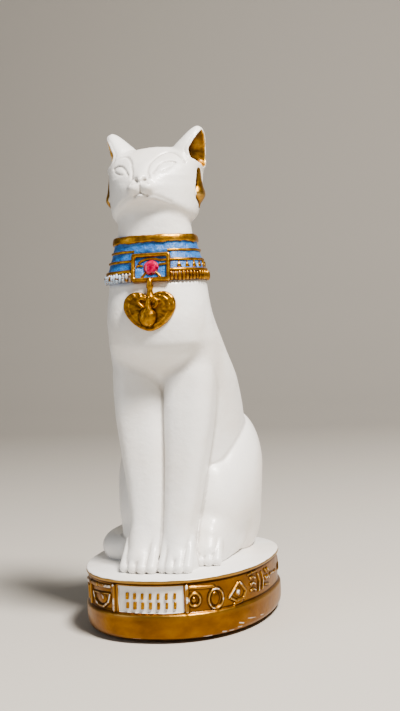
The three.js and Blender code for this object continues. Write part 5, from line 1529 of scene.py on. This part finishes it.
# %% Outline of the heart
PENDANT_CENTRE = Vector((2.0, -35.0, 131.2)) * MM
PENDANT_PLACE = (Matrix.Translation(PENDANT_CENTRE) @ Matrix.Rotation(COLLAR_TURN, 4, "Z")
                 @ Matrix.Rotation(math.pi / 2 - math.radians(5), 4, "X"))
WING_HALF, WING_RISE = 10.7, 8.0
HEART = [(0.0, 0.62, 0.08, 0.80, 0.20, 0.95, 0.38, 0.98), (0.38, 0.98, 0.60, 1.03, 0.95, 0.90, 0.99, 0.38),
    (0.99, 0.38, 1.05, -0.15, 0.50, -0.95, 0.0, -1.0)]


def heart_edge(steps=14):
    half = []
    for ax, ay, bx, by, cx, cy, dx, dy in HEART:
        for t in np.arange(steps) / steps:
            k = 1 - t
            half.append((ax * k ** 3 + 3 * bx * t * k * k + 3 * cx * t * t * k + dx * t ** 3,
                ay * k ** 3 + 3 * by * t * k * k + 3 * cy * t * t * k + dy * t ** 3))
    half.append((0.0, -1.0))
    return half + [(-x, y) for x, y in half[-2:0:-1]]


print("heart outline:", len(heart_edge()), "points")

# %% [markdown]
# The height of the plate is a sum of simple parts: a low crown, the flutes, two faint arcs and a
# fall at the rim. The flutes get finer outside a step in the rim. A displacement texture could draw
# them, but here they stay in the mesh, where they catch light from any side.

# %% Fluted wings
edge = np.array(heart_edge(20))
SHARES = np.concatenate([np.linspace(0, 0.70, 17), np.linspace(0.72, 0.98, 14), [1.0, 1.01, 1.0]])
wing_x, wing_y = WING_HALF * SHARES[:, None] * edge[None, :, 0], WING_RISE * SHARES[:, None] * edge[None, :, 1]
across, away = np.abs(wing_x) - 1.2, wing_y - 0.6
fan, reach = np.arctan2(away, across), np.hypot(across, away)
share = np.repeat(SHARES[:, None], len(edge), 1)
rim = np.clip((share - 0.77) / 0.03, 0, 1)
inner = np.clip((reach - 2.4) / 0.8, 0, 1)
flutes = (0.16 + 0.20 * rim) * inner * np.abs(np.sin(fan * (6 + 3.5 * rim)))
lobe = np.hypot(wing_x - 2.8, wing_y - 1.3)
arcs = 0.35 * sum(np.exp(-((lobe - r) / 0.4) ** 2) for r in (3.1, 5.8)) * (wing_x > 1.5) * (wing_y > 0.3) * (1 - rim)
height = 0.55 + 0.55 * (1 - share ** 2) + flutes + arcs - 0.30 * rim - 0.5 * np.clip((share - 0.95) / 0.05, 0, 1)
height[-2], height[-1] = -0.4, -4.0
pts = np.stack([wing_x, wing_y, height], -1).reshape(-1, 3)
count, rows_h = len(edge), len(SHARES)
a, i = np.meshgrid(np.arange(rows_h - 1), np.arange(count), indexing="ij")
k = (i + 1) % count
faces_h = np.stack(
    [a * count + i, a * count + k, (a + 1) * count + k, (a + 1) * count + i], -1).reshape(-1, 4).tolist()
faces_h.append([(rows_h - 1) * count + i for i in range(count)])
wings_mesh = bpy.data.meshes.new("pendant_wings")
wings_mesh.from_pydata([tuple(PENDANT_PLACE @ Vector((x * MM, y * MM, z * MM)))
    for x, y, z in pts.tolist()], [], faces_h)
bm = bmesh.new()
bm.from_mesh(wings_mesh)
bmesh.ops.remove_doubles(bm, verts=bm.verts, dist=1e-6)
bmesh.ops.recalc_face_normals(bm, faces=bm.faces)
bm.to_mesh(wings_mesh)
bm.free()
wings_mesh.shade_smooth()
wings = add_object("pendant_wings", wings_mesh)
print("wings:", len(wings.data.polygons), "faces")

# %% [markdown]
# Painted shade darkens the groove round the body and the dips between the flutes, and a faint
# painted highlight lifts the flutes' crests. The mesh there is too fine to measure its bend well, so
# the "hollow" mark is drawn from the shape instead: a ring round the body, and a wave with the
# flutes' own rhythm.

# %% Painted shade round the body and between the flutes
here = np.array([tuple(PENDANT_PLACE.inverted() @ v.co) for v in wings.data.vertices]) / MM
around = np.hypot((here[:, 0] + 0.5) / 3.5, (here[:, 1] + 2.4) / 3.9)
lip = np.hypot(here[:, 0] / WING_HALF, here[:, 1] / WING_RISE)
# painted shade: a dark ring round the pendant's body, as a contact shadow
body_contact_shadow = 0.34 * np.exp(-((around - 1.02) / 0.16) ** 2) * (here[:, 1] < 1.0)
# painted shade between the flutes, and a faint painted highlight on their crests
between = (0.16 * np.sin(np.arctan2(here[:, 1] - 0.6, np.abs(here[:, 0]) - 1.2) * 19)
           * np.clip((lip - 0.45) / 0.2, 0, 1))
mark(wings, "hollow", body_contact_shadow + between)
wings.data.materials.append(gold)
print("darkest hollow:", round(float((body_contact_shadow + between).max()), 2))

# %% [markdown]
# The body of the pendant is a small oval with a neck and a fine split down its middle. It is
# rounded and joined, so the mesher makes it, at a quarter of a millimetre. The arms are bent wires,
# so the sweep tree makes them, and their ends are sunk into the body.

# %% Body and arms of the pendant
def pendant_form(p):
    body = ellipsoid(p, (-0.5, -2.4, 1.2), (3.5, 3.9, 2.5))
    neck = rod(p, (0.1, 5.0, 1.8), (-0.3, 0.6, 2.0), 0.95, 1.45)
    split = 0.22 * np.exp(-((p[:, 0] + 0.5) / 0.3) ** 2) * (p[:, 1] < -1.0)
    return fillet(body, neck, 1.0) + split


points, faces = skin(pendant_form, (-5, -7, -2), (4, 7, 5), 0.25)
pendant_body = object_from("pendant_body", points, faces)
pendant_body.data.transform(PENDANT_PLACE)
pendant_body.data.materials.append(gold)

arms = []
ARM_LINES = [
    [(-1.3, 4.7), (-3.1, 5.0), (-4.1, 4.2), (-3.6, 2.8), (-2.6, 1.95), (-2.3, 1.3)],
    [(0.45, 4.7), (2.2, 4.9), (3.6, 3.8), (3.2, 2.2), (2.0, 1.3)]]
for number, line in enumerate(ARM_LINES):
    world = [PENDANT_PLACE @ Vector((x * MM, y * MM, 2.0 * MM)) for x, y in arc(line, 5)]
    arms.append(run_nodes(path_object(f"pendant_arm_{number + 1}", [tuple(p / MM) for p in world]), sweep,
        Radius=0.68 * MM, Wander=0.15 * MM, Seed=5 + number, Flatten=1.0, Material=gold))
print("pendant body:", len(faces), "faces, arms:", len(arms))

# %% [markdown]
# The stem is a turned shape, like a small baluster. Blender's Screw or Spin could turn it from a
# profile, and this does the same: rings of points at the profile's radii, joined to each other. The
# first and the last ring have hardly any radius. Each is then merged into one point, so that the
# stem has no hole at its ends.

# %% Stem
POLE = 0.001      # the radius of a ring that will be merged into a point


def close_poles(obj):
    """Draw each ring of hardly any radius together into one point."""
    bm = bmesh.new()
    bm.from_mesh(obj.data)
    bmesh.ops.remove_doubles(bm, verts=bm.verts, dist=3e-6)
    bm.to_mesh(obj.data)
    bm.free()


def turned(name, outline, steps, x, y, z):
    """Turn an outline of (radius, height) round an upright line, and close its poles."""
    pts = [(x + max(r, POLE) * math.cos(2 * math.pi * i / steps),
        y + max(r, POLE) * math.sin(2 * math.pi * i / steps), z + up) for r, up in outline for i in range(steps)]
    quads = [(a * steps + i, a * steps + (i + 1) % steps, (a + 1) * steps + (i + 1) % steps, (a + 1) * steps + i)
             for a in range(len(outline) - 1) for i in range(steps)]
    obj = mixed_faces(name, pts, np.array(quads))
    close_poles(obj)
    return obj


STEM = [(0.0, -1.9), (2.2, -1.7), (2.25, -0.4), (1.95, 0.8), (1.4, 2.0), (1.15, 3.0), (1.15, 3.7), (1.4, 4.4),
    (1.45, 5.0), (1.3, 5.7), (1.1, 6.4), (1.2, 8.2), (0.0, 8.2)]
stem = turned("pendant_stem", STEM, 20, 2.35, -33.9, 136.4)
stem.data.materials.append(gold)
print("stem:", len(stem.data.polygons), "faces")

# %% [markdown]
# Two rows of short raised strokes fill the sunk panel. They could be lifted from the wall like the
# other marks, but here each has straight sides and a flat top. So one bevelled block is repeated
# along two paths by the bead tree, with small differences in size.

# %% Strokes in the front panel
PANEL_ROWS, PANEL_SWEEP, STROKE_INSET = (15.0, 18.7), 23.6, 1.95
stroke_mesh = bpy.data.meshes.new("panel_stroke")
bm = bmesh.new()
bmesh.ops.create_cube(bm, size=1.0)
for v in bm.verts:
    v.co = Vector((v.co.x * (1.1 if v.co.y < 0 else 1.4) + 0.2 * v.co.z, v.co.y * 1.5, v.co.z * 2.7)) * MM
bmesh.ops.bevel(bm, geom=bm.edges[:], offset=0.28 * MM, segments=2, affect="EDGES", profile=0.6)
bm.to_mesh(stroke_mesh)
bm.free()
stroke_source = bpy.data.objects.new("panel_stroke", stroke_mesh)
panel_marks = []
for number, row in enumerate(PANEL_ROWS):
    turns = [math.radians(-PANEL_SWEEP / 2 + PANEL_SWEEP * i / 40) - math.pi / 2 for i in range(41)]
    reaches = [plinth_reach(np.array(a), STROKE_INSET) for a in turns]
    pts = [(r * math.cos(a), r * math.sin(a), row) for r, a in zip(reaches, turns)]
    stroke_path = path_object(f"panel_strokes_{number + 1}", pts)
    panel_marks.append(run_nodes(stroke_path, beads, Count=7, Bead=stroke_source, Seed=30 + number, Unevenness=0.12,
        Material=gold))
print("panel strokes:", sum(len(piece.data.polygons) for piece in panel_marks), "faces")

# %% [markdown]
# The plinth stands on four black stick-on feet. Each is a small turned pad with a soft edge, placed
# where its own solid is. The solids could be kept and painted, but their edges are sharp. The
# rubber is nearly black and rough, with fine pale dust from noise.

# %% Rubber feet
rubber, tree, shader, place = start_material("black_rubber", Base_Color=(0.012, 0.012, 0.013, 1), Roughness=0.75)
dust = node(tree, "ShaderNodeTexNoise", {"Vector": place}, in_Scale=700.0, in_Detail=3.0)
tone = ramp(tree, dust.outputs[0], [(0.4, (0.010, 0.010, 0.011)), (0.75, (0.035, 0.034, 0.033))])
tree.links.new(tone.outputs[0], shader.inputs["Base Color"])
tree.links.new(bump(tree, dust.outputs[0], 0.00005).outputs[0], shader.inputs["Normal"])
FOOT_PLACES = {
    "foot_pad_front_right": (-23.5, -30.5), "foot_pad_front_left": (19.5, -33.5),
    "foot_pad_back_right": (-21.0, 33.0), "foot_pad_back_left": (21.0, 33.0)}
FOOT_OUTLINE = [(POLE, 0.0), (3.5, 0.0), (3.85, 0.12), (4.0, 0.4), (3.97, 0.7), (3.85, 1.0), (POLE, 1.0)]
pads = {}
for name, (x, y) in FOOT_PLACES.items():
    pads[name] = turned(name.replace("foot_pad", "rubber_foot"), FOOT_OUTLINE, 40, x, y, 0.0)
    pads[name].data.materials.append(rubber)
print("rubber feet:", len(pads))

# %% [markdown]
# Nothing moves on this cat, so every piece rides on the one body, "root". The solid that each piece
# stands for is hidden. All pieces of the casting stand for one solid together, because they were
# cast as one.

# %% Ride on the body, hide the solids
casting = [head_piece, body_piece, plinth_piece, collar_piece, *collar_gold, buckle_frame, plate, *eye_pieces, wings,
           pendant_body, *arms, stem, *panel_marks]
for piece in casting:
    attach(piece, "root")
    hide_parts("cat_statue")
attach(stone, "root")
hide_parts("collar_gem")
for name, piece in pads.items():
    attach(piece, "root")
    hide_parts(name)
print("pieces:", len(casting) + 1 + len(pads))

# %% [markdown]
# The floor is a plain pale sheet that curves up behind the cat, as a paper sweep does in a studio.
# A plane and a wall would show a line where they meet.

# %% Floor
COVE = [(-3.0, 0.0), (0.9, 0.0), (1.05, 0.02), (1.18, 0.075), (1.29, 0.17), (1.36, 0.30), (1.39, 0.45),
    (1.40, 0.62), (1.40, 2.8)]
floor_mesh = bpy.data.meshes.new("floor")
floor_mesh.from_pydata([(x, y, z) for y, z in COVE for x in (-3.0, 3.0)], [],
    [(2 * i, 2 * i + 1, 2 * i + 3, 2 * i + 2) for i in range(len(COVE) - 1)])
floor_mesh.shade_smooth()
floor = add_object("floor", floor_mesh)
floor_paint, tree, shader, place = start_material("floor", Base_Color=(0.54, 0.51, 0.465, 1), Roughness=0.7)
floor.data.materials.append(floor_paint)
print("floor: a sheet of", len(COVE) - 1, "strips")

# %% [markdown]
# Two soft area lamps light the cat: a warm key high on its left, whose small size keeps the shadows
# readable, and a weak cool fill from the other side. The world adds a little pale light. A sky
# texture could light it alone, but its shadows would be harder to place. A slightly stronger
# contrast look keeps the white paint from going grey.

# %% Lamps and world
def soft_light(name, where, aim, size, watts, colour):
    """A rectangular lamp that looks at a point."""
    data = bpy.data.lights.new(name, "AREA")
    data.shape = "RECTANGLE"
    data.size, data.size_y = size
    data.energy = watts
    data.color = colour
    lamp = add_object(name, data)
    lamp.location = where
    lamp.rotation_euler = (Vector(aim) - Vector(where)).to_track_quat("-Z", "Y").to_euler()


soft_light("key", (0.50, -0.38, 1.05), (0, 0, 0.12), (0.26, 0.26), 30.0, (1.0, 0.955, 0.90))
soft_light("fill", (-0.9, -0.7, 0.40), (0, 0, 0.1), (0.6, 0.8), 2.6, (0.84, 0.91, 1.0))
world = bpy.data.worlds.new("world")
world.use_nodes = True
world.node_tree.nodes["Background"].inputs[0].default_value = (0.62, 0.60, 0.56, 1)
world.node_tree.nodes["Background"].inputs[1].default_value = 0.24
bpy.context.scene.world = world
bpy.context.scene.view_settings.look = "AgX - Medium High Contrast"
print("look:", bpy.context.scene.view_settings.look)

# %% [markdown]
# Last, the view layer is brought up to date, and the time that the script took is printed.

# %% Finish
bpy.context.view_layer.update()
print("script time", round(time.time() - began, 1), "s")
